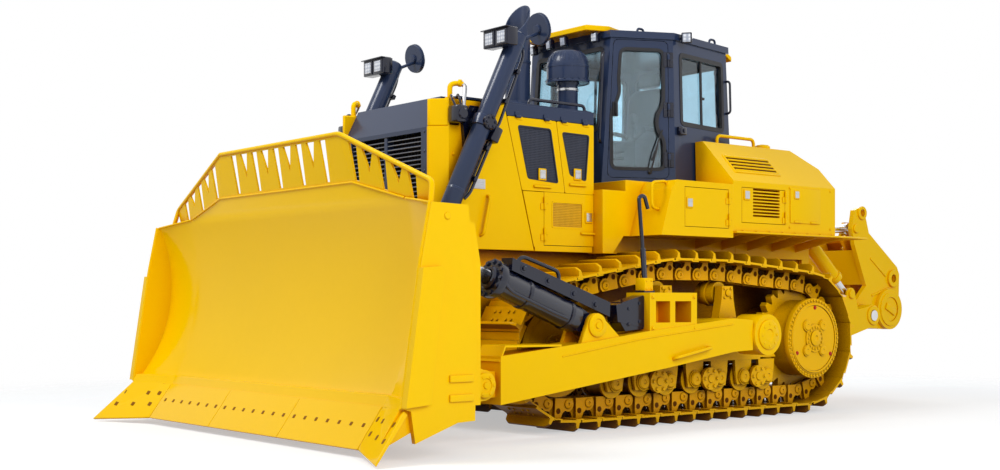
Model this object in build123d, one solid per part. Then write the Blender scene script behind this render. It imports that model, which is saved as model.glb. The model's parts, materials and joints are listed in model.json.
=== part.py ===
"""A large tracked bulldozer with a semi-U blade, a cab and a rear ripper frame.

Millimetres. +X is forward, +Y is to the operator's left and +Z is up.
The origin is on the ground under the middle of the machine's bounding box.
Named sizes come first, then one short section for each group of pieces.
"""
import math
import os

from build123d import *

# Undercarriage
GAUGE = 2260.0            # between the two track centre lines
SHOE_WIDTH = 610.0
SHOE_PITCH = 261.0        # nominal, the loop takes a whole number of shoes
SHOE_T = 22.0             # thickness of a shoe plate
GROUSER_H = 88.0
GROUSER_T = 30.0
GROUSER_SET = 26.0        # from a shoe's leading edge to its grouser
SHOE_GAP = 6.0            # between two shoe plates on a straight run
LINK_OUT = 137.0          # from the pin line out to the shoe plates
LINK_IN = 53.0            # from the pin line in to the rail
LINK_LAP = 50.0           # how far a link runs past its pin
STRAND_IN = 50.0          # a link strand lies between these two distances
STRAND_OUT = 110.0        # from the track's centre line
SPROCKET_X = -1680.0
SPROCKET_R = 564.0        # pin line round the sprocket
SPROCKET_TEETH = 27
SPROCKET_T = 80.0
TOOTH_H = 72.0
IDLER_X = 1850.0
IDLER_R = 500.0           # pin line round the idler
IDLER_TREAD_GAP = 18.0    # room for the straight links that pass over the round tread
CARRIER_X = (520.0, -390.0)
CARRIER_R = 115.0
CARRIER_Z = 1295.0
CARRIER_GAP = 14.0        # room for the straight links that pass over a carrier roller
ROLLER_R = 125.0
ROLLER_COUNT = 7
ROLLER_FRONT = 1170.0     # first roller's axle
ROLLER_STEP = 372.0
FRAME_HALF_W = 190.0      # half the width of a track frame
SEAT_GAP = 0.3            # running gap where a round piece meets its seat

# Hull
HULL_HALF_W = 680.0
HULL_BOTTOM = 520.0
HULL_TOP = 1690.0
HULL_FRONT = 2860.0
HULL_REAR = -2420.0
PLATE = 20.0              # folded sheet and light plate

# Engine bay
BAY_HALF_W = 850.0
BAY_FRONT = 2940.0
BAY_REAR = 1010.0
BAY_TOP = 3090.0
BAY_DOOR_T = 36.0
GUARD_REAR_TOP = 2130.0   # slanted rear edge of the radiator guard's side
GUARD_REAR_BOTTOM = 1805.0
DOOR_BOTTOM = 2262.0      # lower edge of the upper engine doors
DOOR_TOP = 2950.0
DOOR_SPLIT = 1490.0       # between the two upper engine doors
SERVICE_BOTTOM = 1750.0
SERVICE_FRONT = 1660.0    # hinge edge, so that the open door clears the raised tilt cylinder
DOOR_GAP = 6.0            # round every door
HINGE_R = 14.0            # knuckles of a door's hinges
HINGE_RISE = 15.0         # hinge axis above the face of the door
HINGE_LEN = 60.0
HINGE_LEAF = 46.0

# Cab
CAB_FLOOR = 2420.0
CAB_TOP = 3960.0
CAB_WALL = 60.0
CAB_FRONT_X = 665.0
CAB_FRONT_RAKE = 120.0    # how far the windscreen leans back to the roof
CAB_FRONT_W = 600.0       # half widths of the six-sided plan
CAB_MID_X = -60.0
CAB_MID_W = 950.0
CAB_REAR_X = -1150.0
CAB_REAR_W = 760.0
CAB_LEAN = 40.0           # how far the side walls lean in to the roof
CAB_REAR_LEAN = 70.0
GLASS_T = 12.0
CAB_CLEAR = 20.0          # between the cab and the tanks beside it

# Fenders, tanks and deck
FENDER_W = 1420.0         # half width over the fenders
PLATFORM_W = 980.0        # half width of the platform under the cab
FENDER_BOTTOM = 1860.0
FENDER_TOP = 2410.0
FENDER_FRONT = 640.0
FENDER_REAR = -415.0
TANK_REAR = -2110.0
TANK_TOP = 2890.0
TANK_INNER_W = 790.0
TANK_CHAMFER_W = 1000.0
TANK_CHAMFER_Z = 2450.0
DECK_Z = 1930.0
DECK_REAR = -2720.0
DECK_W = 1470.0

# Blade and push arms
BLADE_HALF_W = 2378.0
BLADE_WING_W = 1858.0     # the wings start here
BLADE_WING_DX = 200.0     # how far a wing's lower end stands forward
BLADE_LOW = (4190.0, 380.0)
BLADE_MID = (3936.0, 1262.0)
BLADE_HIGH = (4050.0, 2194.0)
BLADE_CREST_W = 1159.0    # half width of the level top, which then slopes down to the wings
BLADE_T = 40.0
WING_TOP = 2024.0         # top of the mouldboard where a wing starts
WING_MID = (3990.0, 1230.0)
WING_HIGH = (4115.0, 1958.0)
END_PLATE_T = 44.0
END_PLATE = (
    (4137.0, 1962.0), (3784.0, 1953.0), (3709.0, 939.0), (3720.0, 283.0), (3889.0, 276.0),
    (4290.0, 140.0), (4330.0, 385.0), (4398.0, 404.0), (4228.0, 1518.0),
)
EDGE_TIP = (4457.0, 66.0)
EDGE_T = 45.0
EDGE_HALF_W = 1856.0
BIT_TIP = (4750.0, 2535.0, 28.0)
SCREEN_RISE = 434.0       # top of the spill screen above the mouldboard
SCREEN_LEAN = 56.0        # how far it leans forward
SCREEN_TOP_W = 1041.0
SCREEN_END_W = 2188.0
SCREEN_END_DX = -69.0     # outer end of the top rail, from the mouldboard's top
SCREEN_END_DZ = -30.0
SCREEN_T = 20.0
SCREEN_PITCH = 392.0      # between the slots of the spill screen
SCREEN_SINK = 12.0        # how far its plates run down into the mouldboard
ARM_Y = 1655.0
ARM_W = 330.0
ARM_PIN = (3160.0, 506.0)
ARM_PIN_R = 60.0
TRUNNION = (-446.0, 874.0)
TRUNNION_R = 110.0
PIN_PLAY = 0.3            # radial play of a pin in its bore

# Blade cylinders
LIFT_Y = 1000.0
LIFT_PIVOT = (2534.0, 2830.0)
LIFT_EYE = (3410.0, 1050.0)
LIFT_TUBE_R = 88.0
LIFT_ROD_R = 55.0
LIFT_ABOVE = 960.0        # barrel above and below its trunnion
LIFT_BELOW = 790.0
TILT_REAR = (1867.0, 993.0)
TILT_EYE = (3470.0, 1590.0)
TILT_TUBE_R = 130.0
TILT_ROD_R = 65.0
TILT_TUBE_END = 1190.0    # barrel's length from its rear pin
LIFT_ROD_REST = 130.0     # rod's hidden end at rest, from the trunnion
ROD_PLAY = 1.0            # round a rod in its gland
TRUNNION_PIN_R = 50.0
TILT_PIN_R = 50.0
LAMP_X = 2275.0
LAMP_Z = 3545.0
MIRROR = (1880.0, 3770.0)

# Ripper
RIPPER_HALF_W = 450.0
RIPPER_PLATE = 60.0
RIPPER_REAR = -4750.0
RIPPER_ARM_PIVOT = (-2740.0, 800.0)
RIPPER_ARM_Y = 600.0
RIPPER_ARM_HALF = 80.0
RIPPER_PIN = (-3860.0, 1035.0)
RIPPER_PIN_R = 65.0
RIPPER_LUG = (-3421.0, 1294.0)
RIPPER_LIFT_TOP = (-2640.0, 1950.0)
RIPPER_TILT_FRONT = (-2690.0, 2050.0)
RIPPER_TILT_Y = 300.0
RIPPER_EAR = (-3830.0, 2110.0)
RIPPER_TUBE_R = 85.0
RIPPER_ROD_R = 44.0
DRUM = (-4480.0, 1110.0)
DRUM_R = 255.0
DRUM_FACE = 500.0

PARTS = {}


# Shared helpers

def block(x, y, z):
    """A box between the low and high values of each axis."""
    size = (x[1] - x[0], y[1] - y[0], z[1] - z[0])
    return Pos((x[0] + x[1]) / 2, (y[0] + y[1]) / 2, (z[0] + z[1]) / 2) * Box(*size)


def side_plate(points, y):
    """An outline in X and Z, given thickness between two values of Y."""
    face = Plane.XZ.offset(-y[1]) * Polygon(*points, align=None)
    return extrude(face, amount=y[1] - y[0], dir=(0, -1, 0))


def front_plate(points, x):
    """An outline in Y and Z, given thickness between two values of X."""
    face = Plane.YZ.offset(x[0]) * Polygon(*points, align=None)
    return extrude(face, amount=x[1] - x[0], dir=(1, 0, 0))


def flat_plate(points, z):
    """An outline in X and Y, given thickness between two values of Z."""
    face = Plane.XY.offset(z[0]) * Polygon(*points, align=None)
    return extrude(face, amount=z[1] - z[0], dir=(0, 0, 1))


def rod(start, end, radius):
    """A round bar from one point to another."""
    start, end = Vector(*start), Vector(*end)
    axis = end - start
    bar = Cylinder(radius, axis.length, align=(Align.CENTER, Align.CENTER, Align.MIN))
    return Plane(origin=start, z_dir=axis.normalized()) * bar


def cross_bar(x, z, radius, y):
    """A round bar along Y."""
    return rod((x, y[0], z), (x, y[1], z), radius)


def turned(x, z, steps):
    """A body turned about a Y axis, from (radius, y low, y high) steps."""
    body = cross_bar(x, z, steps[0][0], steps[0][1:])
    for radius, low, high in steps[1:]:
        body += cross_bar(x, z, radius, (low, high))
    return body


def right_of(shape):
    """The same piece on the machine's right side."""
    return mirror(shape, about=Plane.XZ)


def both(*shapes):
    """Left pieces, and their copies on the right."""
    return [*shapes, *[right_of(s) for s in shapes]]


def node(name, *shapes):
    """Keeps a node's solids under its name."""
    solids = []
    for shape in shapes:
        solids += list(shape.solids())
    PARTS[name] = Compound(solids)


def between(a, b, share):
    """A point on the line from a to b."""
    return tuple(p + (q - p) * share for p, q in zip(a, b))


def hinge_set(plane, stations):
    """Knuckles for a door and for its frame.

    The plane lies on the door's face under the hinge axis: x points to the door
    and y runs along the axis.
    """
    sets = []
    for side in (1, -1):
        pieces = []
        for station in stations:
            middle = station + side * (HINGE_LEN + SEAT_GAP) / 2
            knuckle = Pos(0, middle, HINGE_RISE) * Cylinder(HINGE_R, HINGE_LEN, rotation=(90, 0, 0))
            leaf = Pos(side * HINGE_LEAF / 2, middle, 5) * Box(HINGE_LEAF, HINGE_LEN, 10)
            pieces.append(plane * (knuckle + leaf))
        sets.append(pieces)
    return sets


# Track loop

TRACK_Y = GAUGE / 2
TRACK_H = LINK_OUT + SHOE_T + GROUSER_H
SPROCKET_Z = SPROCKET_R + TRACK_H
IDLER_Z = IDLER_R + TRACK_H
CARRIER_LOOP_R = CARRIER_R + CARRIER_GAP + LINK_IN


def belt(circles):
    """Straight runs and arcs of a belt round circles, counter-clockwise in X and Z."""
    count = len(circles)
    normals = []
    for i in range(count):
        (xa, za, ra), (xb, zb, rb) = circles[i], circles[(i + 1) % count]
        heading = math.atan2(zb - za, xb - xa)
        lean = math.asin((ra - rb) / math.hypot(xb - xa, zb - za))
        normals.append(heading - math.pi / 2 + lean)
    runs = []
    for i in range(count):
        (xa, za, ra), (xb, zb, rb) = circles[i], circles[(i + 1) % count]
        c, s = math.cos(normals[i]), math.sin(normals[i])
        start, end = (xa + ra * c, za + ra * s), (xb + rb * c, zb + rb * s)
        runs.append(("line", math.dist(start, end), start, end))
        turn = (normals[(i + 1) % count] - normals[i]) % (2 * math.pi)
        runs.append(("arc", rb * turn, (xb, zb, rb), normals[i]))
    return runs


def belt_point(runs, distance):
    """The point at a distance along the belt."""
    for kind, length, first, second in runs:
        if distance <= length:
            if kind == "line":
                return between(first, second, distance / length)
            angle = second + distance / first[2]
            return first[0] + first[2] * math.cos(angle), first[1] + first[2] * math.sin(angle)
        distance -= length
    return runs[0][2]


def track_pins():
    """The pins of one track, evenly spaced along its loop."""
    runs = belt([
        (SPROCKET_X, SPROCKET_Z, SPROCKET_R),
        (IDLER_X, IDLER_Z, IDLER_R),
        (CARRIER_X[0], CARRIER_Z, CARRIER_LOOP_R),
        (CARRIER_X[1], CARRIER_Z, CARRIER_LOOP_R),
    ])
    total = sum(run[1] for run in runs)
    count = round(total / SHOE_PITCH)
    return [belt_point(runs, total * i / count) for i in range(count)]


def along_link(start, end, points):
    """Points given along and outwards from a link, in the machine's X and Z."""
    length = math.dist(start, end)
    tx, tz = (end[0] - start[0]) / length, (end[1] - start[1]) / length
    return [(start[0] + u * tx + w * tz, start[1] + u * tz - w * tx) for u, w in points]


def link_outline(start, end):
    length = math.dist(start, end)
    lap, half = LINK_LAP, LINK_LAP / 2
    return along_link(start, end, [
        (-lap, 0), (-half, -LINK_IN), (length + half, -LINK_IN),
        (length + lap, 0), (length - half, LINK_OUT), (half, LINK_OUT),
    ])


def shoe_outline(start, end):
    low, high = SHOE_GAP / 2, math.dist(start, end) - SHOE_GAP / 2
    top, tip = LINK_OUT + SHOE_T, LINK_OUT + SHOE_T + GROUSER_H
    front = low + GROUSER_SET
    return along_link(start, end, [
        (low, LINK_OUT), (high, LINK_OUT), (high, top), (front + GROUSER_T, top),
        (front + GROUSER_T, tip), (front, tip), (front, top), (low, top),
    ])


def make_tracks():
    pins = track_pins()
    pairs = list(zip(pins, pins[1:] + pins[:1]))
    strand_spans = ((-STRAND_OUT, -STRAND_IN), (STRAND_IN, STRAND_OUT))
    pieces = []
    for low, high in strand_spans:
        span = (TRACK_Y + low, TRACK_Y + high)
        pieces += [side_plate(link_outline(a, b), span) for a, b in pairs]
    shoe_span = (TRACK_Y - SHOE_WIDTH / 2, TRACK_Y + SHOE_WIDTH / 2)
    pieces += [side_plate(shoe_outline(a, b), shoe_span) for a, b in pairs]
    track = pieces[0].fuse(*pieces[1:])
    node("track_left", track)
    node("track_right", right_of(track))


# Track frames, rollers and final drives

ROLLER_Z = TRACK_H + LINK_IN + ROLLER_R + SEAT_GAP
ROLLER_X = [ROLLER_FRONT - i * ROLLER_STEP for i in range(ROLLER_COUNT)]
FRAME_Y = (TRACK_Y - FRAME_HALF_W, TRACK_Y + FRAME_HALF_W)
FRAME_BOTTOM = 600.0
FRAME_TUBE_Z = 850.0
FRAME_TUBE_R = 185.0
FRAME_FRONT = 1320.0
FRAME_BACK = -960.0
TUBE_FRONT = 1180.0
TUBE_BACK = -880.0
IDLER_TREAD_R = IDLER_R - LINK_IN - IDLER_TREAD_GAP
IDLER_FLANGE_R = IDLER_R - LINK_IN + 20.0
IDLER_HALF_W = 118.0
YOKE_IN = 130.0           # idler yoke plates, from the track's centre line
YOKE_OUT = 172.0
FLANGE_R = ROLLER_R + 24.0
ROLLER_HALF_W = 150.0
BOGIE_T = 36.0


def carrier_bracket(x):
    """A post that carries an upper roller from its outer side."""
    y = (TRACK_Y + STRAND_OUT + 25, TRACK_Y + STRAND_OUT + 125)
    foot = FRAME_TUBE_Z + 120
    post = side_plate([
        (x - 150, foot), (x + 150, foot), (x + 92, CARRIER_Z - 70),
        (x + 80, CARRIER_Z + 70), (x - 80, CARRIER_Z + 70), (x - 92, CARRIER_Z - 70),
    ], y)
    foot_plate = block((x - 170, x + 170), (TRACK_Y - 100, y[1]), (foot - 60, foot))
    return post + foot_plate


def make_track_frame():
    beam = block((FRAME_BACK, FRAME_FRONT), FRAME_Y, (FRAME_BOTTOM, FRAME_TUBE_Z))
    tube = rod((TUBE_BACK, TRACK_Y, FRAME_TUBE_Z), (TUBE_FRONT, TRACK_Y, FRAME_TUBE_Z), FRAME_TUBE_R)
    frame = beam + tube
    for side in (-1, 1):
        low, high = sorted((TRACK_Y + side * YOKE_IN, TRACK_Y + side * YOKE_OUT))
        frame += side_plate([
            (FRAME_FRONT - 150, FRAME_BOTTOM + 10), (IDLER_X - 120, IDLER_Z - 130),
            (IDLER_X + 130, IDLER_Z - 90), (IDLER_X + 130, IDLER_Z + 90),
            (IDLER_X - 120, IDLER_Z + 110), (FRAME_FRONT - 150, FRAME_TUBE_Z),
        ], (low, high))
    for x in CARRIER_X:
        frame += carrier_bracket(x)
    tail = side_plate([
        (FRAME_BACK + 10, FRAME_TUBE_Z - 20), (FRAME_BACK - 120, FRAME_TUBE_Z - 60),
        (FRAME_BACK - 250, FRAME_BOTTOM + 20), (FRAME_BACK + 10, FRAME_BOTTOM + 20),
    ], (TRACK_Y + 120, FRAME_Y[1]))
    trunnion = cross_bar(*TRUNNION, TRUNNION_R, (FRAME_Y[1] - 60, ARM_Y + 20))
    collar = cross_bar(*TRUNNION, TRUNNION_R + 60, (FRAME_Y[1] - 60, FRAME_Y[1] + 90))
    frame += tail + trunnion + collar
    for hanger in roller_hangers():
        frame += hanger
    node("track_frames", *both(frame))


def track_roller(x):
    """A lower roller: two treads, four flanges' worth of width and its stub axle."""
    y = TRACK_Y
    steps = [
        (ROLLER_R, y - STRAND_OUT - 4, y + STRAND_OUT + 4),
        (FLANGE_R, y - STRAND_OUT - 30, y - STRAND_OUT - 4),
        (FLANGE_R, y + STRAND_OUT + 4, y + STRAND_OUT + 30),
        (48.0, y - ROLLER_HALF_W, y + ROLLER_HALF_W),
    ]
    return turned(x, ROLLER_Z, steps)


def bogie_plate(x, y):
    """A hanger plate that holds a roller's axle below the track frame."""
    plate = side_plate([
        (x - 130, FRAME_BOTTOM), (x + 130, FRAME_BOTTOM), (x + 120, ROLLER_Z + 60),
        (x + 95, ROLLER_Z - 80), (x - 95, ROLLER_Z - 80), (x - 120, ROLLER_Z + 60),
    ], y)
    return plate


def roller_hangers():
    hangers = []
    for x in ROLLER_X:
        outer = (TRACK_Y + ROLLER_HALF_W, TRACK_Y + ROLLER_HALF_W + BOGIE_T)
        inner = (TRACK_Y - ROLLER_HALF_W - BOGIE_T, TRACK_Y - ROLLER_HALF_W)
        cap = cross_bar(x, ROLLER_Z, 85, (outer[1], outer[1] + 16))
        hangers += [bogie_plate(x, outer) + cap, bogie_plate(x, inner)]
    return hangers


def make_rollers():
    rollers = [track_roller(x) for x in ROLLER_X]
    idler = turned(IDLER_X, IDLER_Z, [
        (IDLER_TREAD_R, TRACK_Y - IDLER_HALF_W, TRACK_Y + IDLER_HALF_W),
        (IDLER_FLANGE_R, TRACK_Y - STRAND_IN + 8, TRACK_Y + STRAND_IN - 8),
        (95.0, TRACK_Y - YOKE_IN, TRACK_Y + YOKE_IN),
    ])
    for side in (-1, 1):
        face = TRACK_Y + side * IDLER_HALF_W
        span = sorted((face, face - side * 45))
        dish = cross_bar(IDLER_X, IDLER_Z, IDLER_TREAD_R - 70, span)
        idler -= dish - cross_bar(IDLER_X, IDLER_Z, 150, span)
    for x in CARRIER_X:
        rollers.append(turned(x, CARRIER_Z, [
            (CARRIER_R, TRACK_Y - STRAND_OUT - 4, TRACK_Y + STRAND_OUT + 4),
            (CARRIER_R + 20, TRACK_Y - 30, TRACK_Y + 30),
            (60.0, TRACK_Y + STRAND_OUT, TRACK_Y + STRAND_OUT + 25),
        ]))
    node("track_rollers", *both(idler, *rollers))


def sprocket_outline():
    """A toothed outline with flat tips."""
    points = []
    root = SPROCKET_R - 62
    step = 2 * math.pi / SPROCKET_TEETH
    for i in range(SPROCKET_TEETH):
        for share, radius in ((-0.42, root), (-0.17, root + TOOTH_H), (0.17, root + TOOTH_H), (0.42, root)):
            angle = (i + share) * step
            points.append((SPROCKET_X + radius * math.cos(angle), SPROCKET_Z + radius * math.sin(angle)))
    return points


SPROCKET_Y = (TRACK_Y - SPROCKET_T / 2, TRACK_Y + SPROCKET_T / 2)
DRIVE_OUT = 1470.0
DRIVE_R = 430.0


def make_final_drives():
    ring = side_plate(sprocket_outline(), SPROCKET_Y)
    drum = turned(SPROCKET_X, SPROCKET_Z, [
        (DRIVE_R - 18, SPROCKET_Y[1], DRIVE_OUT - 40),
        (DRIVE_R, DRIVE_OUT - 70, DRIVE_OUT - 12),
        (DRIVE_R - 45, DRIVE_OUT - 12, DRIVE_OUT - 4),
        (150.0, DRIVE_OUT - 4, DRIVE_OUT + 12),
    ])
    for i in range(4):
        angle = math.pi / 4 + i * math.pi / 2
        x, z = SPROCKET_X + 190 * math.cos(angle), SPROCKET_Z + 190 * math.sin(angle)
        drum += cross_bar(x, z, 62, (DRIVE_OUT - 20, DRIVE_OUT + 14))
    node("final_drives", *both(ring + drum))


# Hull

PIVOT_X = -760.0


def make_main_frame():
    hull = side_plate([
        (HULL_REAR, HULL_BOTTOM + 140), (HULL_REAR + 160, HULL_BOTTOM),
        (HULL_FRONT - 700, HULL_BOTTOM), (HULL_FRONT - 120, HULL_BOTTOM + 190),
        (HULL_FRONT, HULL_BOTTOM + 420), (HULL_FRONT, HULL_TOP - 260),
        (HULL_FRONT - 200, HULL_TOP - 260), (HULL_FRONT - 200, HULL_TOP), (HULL_REAR, HULL_TOP),
    ], (-HULL_HALF_W, HULL_HALF_W))
    inner_drive = SPROCKET_Y[0]
    for side in (-1, 1):
        for x, z, radius, end in (
            (SPROCKET_X, SPROCKET_Z, 330, inner_drive), (PIVOT_X, FRAME_TUBE_Z - 40, 120, FRAME_Y[0]),
        ):
            span = sorted((side * (HULL_HALF_W - 20), side * end))
            hull += cross_bar(x, z, radius, span)
    hull += block((1000, 1180), (-FRAME_Y[0], FRAME_Y[0]), (FRAME_BOTTOM + 20, FRAME_BOTTOM + 200))
    node("main_frame", hull)
    engine = block((1150, 2300), (-430, 430), (HULL_TOP, 2750))
    node("engine_block", engine)


# Engine bay

GUARD_T = 60.0            # thickness of the radiator guard's side plates
GUARD_CHAMFER = 130.0
GRILLE_HALF_W = 690.0
GRILLE_BOTTOM = 1480.0
BROW_Z = 2800.0           # where the front of the hood starts to lean back
BROW_DX = 150.0
LOUVRES = 9


def guard_edge(z):
    """The slanted rear edge of the radiator guard at a height."""
    share = (z - SERVICE_BOTTOM) / (DOOR_TOP - SERVICE_BOTTOM)
    return GUARD_REAR_BOTTOM + (GUARD_REAR_TOP - GUARD_REAR_BOTTOM) * share


def make_radiator_guard():
    """Two side plates and the corner columns beside the grille, tied by a sill."""
    low, high = HULL_TOP - 260, BAY_TOP - 40
    side = side_plate([
        (BAY_FRONT - GUARD_CHAMFER, low), (BAY_FRONT - GUARD_CHAMFER, high),
        (guard_edge(high), high), (guard_edge(HULL_TOP), HULL_TOP), (HULL_FRONT - 200, HULL_TOP),
        (HULL_FRONT - 200, low),
    ], (BAY_HALF_W - GUARD_T, BAY_HALF_W))
    column = flat_plate([
        (BAY_FRONT - GUARD_CHAMFER, BAY_HALF_W), (BAY_FRONT, BAY_HALF_W - GUARD_CHAMFER),
        (BAY_FRONT, GRILLE_HALF_W), (BAY_FRONT - 2 * GUARD_CHAMFER, GRILLE_HALF_W),
        (BAY_FRONT - 2 * GUARD_CHAMFER, BAY_HALF_W),
    ], (low, BROW_Z))
    brow = side_plate([
        (BAY_FRONT - 2 * GUARD_CHAMFER, BROW_Z), (BAY_FRONT - GUARD_CHAMFER, BROW_Z),
        (BAY_FRONT - BROW_DX - 20, high), (BAY_FRONT - 2 * GUARD_CHAMFER, high),
    ], (GRILLE_HALF_W, BAY_HALF_W - GUARD_T))
    guard = side + column + brow
    sill = block((HULL_FRONT, BAY_FRONT), (-GRILLE_HALF_W, GRILLE_HALF_W), (low, GRILLE_BOTTOM - 40))
    node("radiator_guard", guard + right_of(guard) + sill)


def make_grille():
    """A dark frame with level louvres and a middle post, under a leaning brow."""
    front, back = BAY_FRONT - 14, BAY_FRONT - 110
    width = GRILLE_HALF_W - SEAT_GAP
    outline = [
        (back, GRILLE_BOTTOM - 40), (front, GRILLE_BOTTOM - 40), (front, BROW_Z), (front - BROW_DX, BAY_TOP),
        (back - BROW_DX, BAY_TOP), (back, BROW_Z),
    ]
    low, high = GRILLE_BOTTOM + 40, BROW_Z - 40
    grille = side_plate(outline, (-width, width))
    grille -= block((back - 1, front + 1), (-width + 110, width - 110), (low, high))
    step = (high - low) / (LOUVRES + 1)
    for i in range(LOUVRES):
        z = low + (i + 1) * step
        grille += block((back + 20, front - 20), (-width + 100, width - 100), (z - 8, z + 8))
    grille += block((back + 10, front - 8), (-24, 24), (low - 10, high + 10))
    node("radiator_grille", grille)


def make_hood(leaves):
    """The dark top cover, which folds down over the tops of the doors."""
    front = BAY_FRONT - 110 - BROW_DX
    top = side_plate([
        (BAY_REAR, BAY_TOP - PLATE), (front, BAY_TOP - PLATE), (front, BAY_TOP), (BAY_REAR, BAY_TOP),
    ], (-BAY_HALF_W + 40, BAY_HALF_W - 40))
    fold = side_plate([
        (BAY_REAR, DOOR_TOP + DOOR_GAP), (guard_edge(DOOR_TOP) - DOOR_GAP, DOOR_TOP + DOOR_GAP),
        (guard_edge(BAY_TOP) - DOOR_GAP, BAY_TOP - 20), (BAY_REAR, BAY_TOP - 20),
    ], (BAY_HALF_W - 60, BAY_HALF_W))
    lid = fold
    lid_x = (BAY_REAR, guard_edge(BAY_TOP) - 60)
    lid += block(lid_x, (BAY_HALF_W - 60, BAY_HALF_W - 30), (BAY_TOP - 40, BAY_TOP))
    for leaf in leaves:
        lid += leaf
    cover = top + lid + right_of(lid)
    half_w = BAY_HALF_W - 60
    bulkhead = block((BAY_REAR, BAY_REAR + PLATE), (-half_w, half_w), (HULL_TOP, BAY_TOP - PLATE))
    node("hood_cover", cover + bulkhead)


def make_bay_sides(leaves):
    """The fixed lower side of the bay: a sill, a rear post and the rail between the doors."""
    depth = (BAY_HALF_W - BAY_DOOR_T - 50, BAY_HALF_W - BAY_DOOR_T - DOOR_GAP)
    edge = guard_edge(DOOR_BOTTOM)
    rail = side_plate([
        (BAY_REAR + PLATE, DOOR_BOTTOM - 60), (edge - 60, DOOR_BOTTOM - 60), (edge - 60, DOOR_BOTTOM + 40),
        (BAY_REAR + PLATE, DOOR_BOTTOM + 40),
    ], depth)
    sill_x = (BAY_REAR + PLATE, GUARD_REAR_BOTTOM - DOOR_GAP - 20)
    sill = block(sill_x, (HULL_HALF_W - 10, BAY_HALF_W), (HULL_TOP, SERVICE_BOTTOM - DOOR_GAP))
    post = block((BAY_REAR + PLATE, BAY_REAR + 90), depth, (SERVICE_BOTTOM - DOOR_GAP, DOOR_TOP - 20))
    foot_x, head_x = guard_edge(SERVICE_BOTTOM), guard_edge(DOOR_TOP)
    front_post = side_plate([
        (foot_x - 60, SERVICE_BOTTOM - 20), (foot_x - 14, SERVICE_BOTTOM - 20),
        (head_x - 14, DOOR_TOP - 20), (head_x - 60, DOOR_TOP - 20),
    ], depth)
    lower_post = side_plate([
        (SERVICE_FRONT + DOOR_GAP, SERVICE_BOTTOM - 20), (GUARD_REAR_BOTTOM - 14, SERVICE_BOTTOM - 20),
        (guard_edge(DOOR_BOTTOM) - 14, DOOR_BOTTOM - DOOR_GAP),
        (SERVICE_FRONT + DOOR_GAP, DOOR_BOTTOM - DOOR_GAP),
    ], (depth[0], BAY_HALF_W))
    side = rail + sill + post + front_post + lower_post
    node("bay_sides", *both(side.fuse(*leaves)))


def bay_door(points, inset_low, inset_high):
    """An upper engine door with a sunken mesh panel."""
    door = side_plate(points, (BAY_HALF_W - BAY_DOOR_T, BAY_HALF_W))
    xs = [p[0] for p in points]
    centre = ((min(xs) + max(xs)) / 2, (DOOR_BOTTOM + DOOR_TOP) / 2)
    panel = []
    for x, z in points:
        panel.append((centre[0] + (x - centre[0]) * 0.72, inset_low if z < centre[1] else inset_high))
    return door - side_plate(panel, (BAY_HALF_W - 10, BAY_HALF_W + 1))


def make_bay_doors():
    low, high = DOOR_BOTTOM + DOOR_GAP / 2, DOOR_TOP
    front = bay_door([
        (DOOR_SPLIT + DOOR_GAP / 2, low), (guard_edge(low) - DOOR_GAP, low),
        (guard_edge(high) - DOOR_GAP, high), (DOOR_SPLIT + DOOR_GAP / 2, high),
    ], low + 90, high - 90)
    swing = 70.0              # the hinge drops the front corner this far as the door opens
    clip = guard_edge(high - swing) - DOOR_GAP
    front -= block((clip, clip + 200), (0, BAY_HALF_W + 1), (high - swing, high + 1))
    rear = bay_door([
        (BAY_REAR, low), (DOOR_SPLIT - DOOR_GAP / 2, low),
        (DOOR_SPLIT - DOOR_GAP / 2, high), (BAY_REAR, high),
    ], low + 90, high - 90)
    door_y = (BAY_HALF_W - BAY_DOOR_T, BAY_HALF_W)
    panel_y = (BAY_HALF_W - 8, BAY_HALF_W + 1)
    service = block((BAY_REAR + 4, SERVICE_FRONT), door_y, (SERVICE_BOTTOM, DOOR_BOTTOM - DOOR_GAP / 2))
    service -= block((BAY_REAR + 150, SERVICE_FRONT - 98), panel_y, (SERVICE_BOTTOM + 170, DOOR_BOTTOM - 90))
    hinged = ((front, (DOOR_SPLIT + 300, 180)), (rear, ((BAY_REAR + DOOR_SPLIT) / 2, 140)))
    doors, leaves = [], []
    for door, (middle, reach) in hinged:
        seat = (middle, BAY_HALF_W, DOOR_TOP + DOOR_GAP / 2)
        plane = Plane(origin=seat, x_dir=(0, 0, -1), z_dir=(0, 1, 0))
        on_door, on_frame = hinge_set(plane, (-reach, reach))
        doors.append(door.fuse(*on_door))
        leaves += on_frame
    plane = Plane(origin=(SERVICE_FRONT + DOOR_GAP / 2, BAY_HALF_W, 2000), x_dir=(-1, 0, 0), z_dir=(0, 1, 0))
    on_door, post_leaves = hinge_set(plane, (-150, 150))
    doors.append(service.fuse(*on_door))
    for name, door in zip(("engine_door_front", "engine_door_rear", "service_door"), doors):
        node(name + "_left", door)
        node(name + "_right", right_of(door))
    return leaves, post_leaves


STACK_X = 1280.0
STACK_R = 130.0
STACK_WALL = 12.0
STACK_CUT = 4100.0        # middle of the slanted mouth
SHROUD_H = 120.0
CLEANER = (905.0, 350.0)
CLEANER_NECK_R = 105.0
CLEANER_R = 215.0
CLEANER_LOW = 3440.0
CLEANER_SHOULDER = 3600.0
CLEANER_TOP = 3760.0


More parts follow.
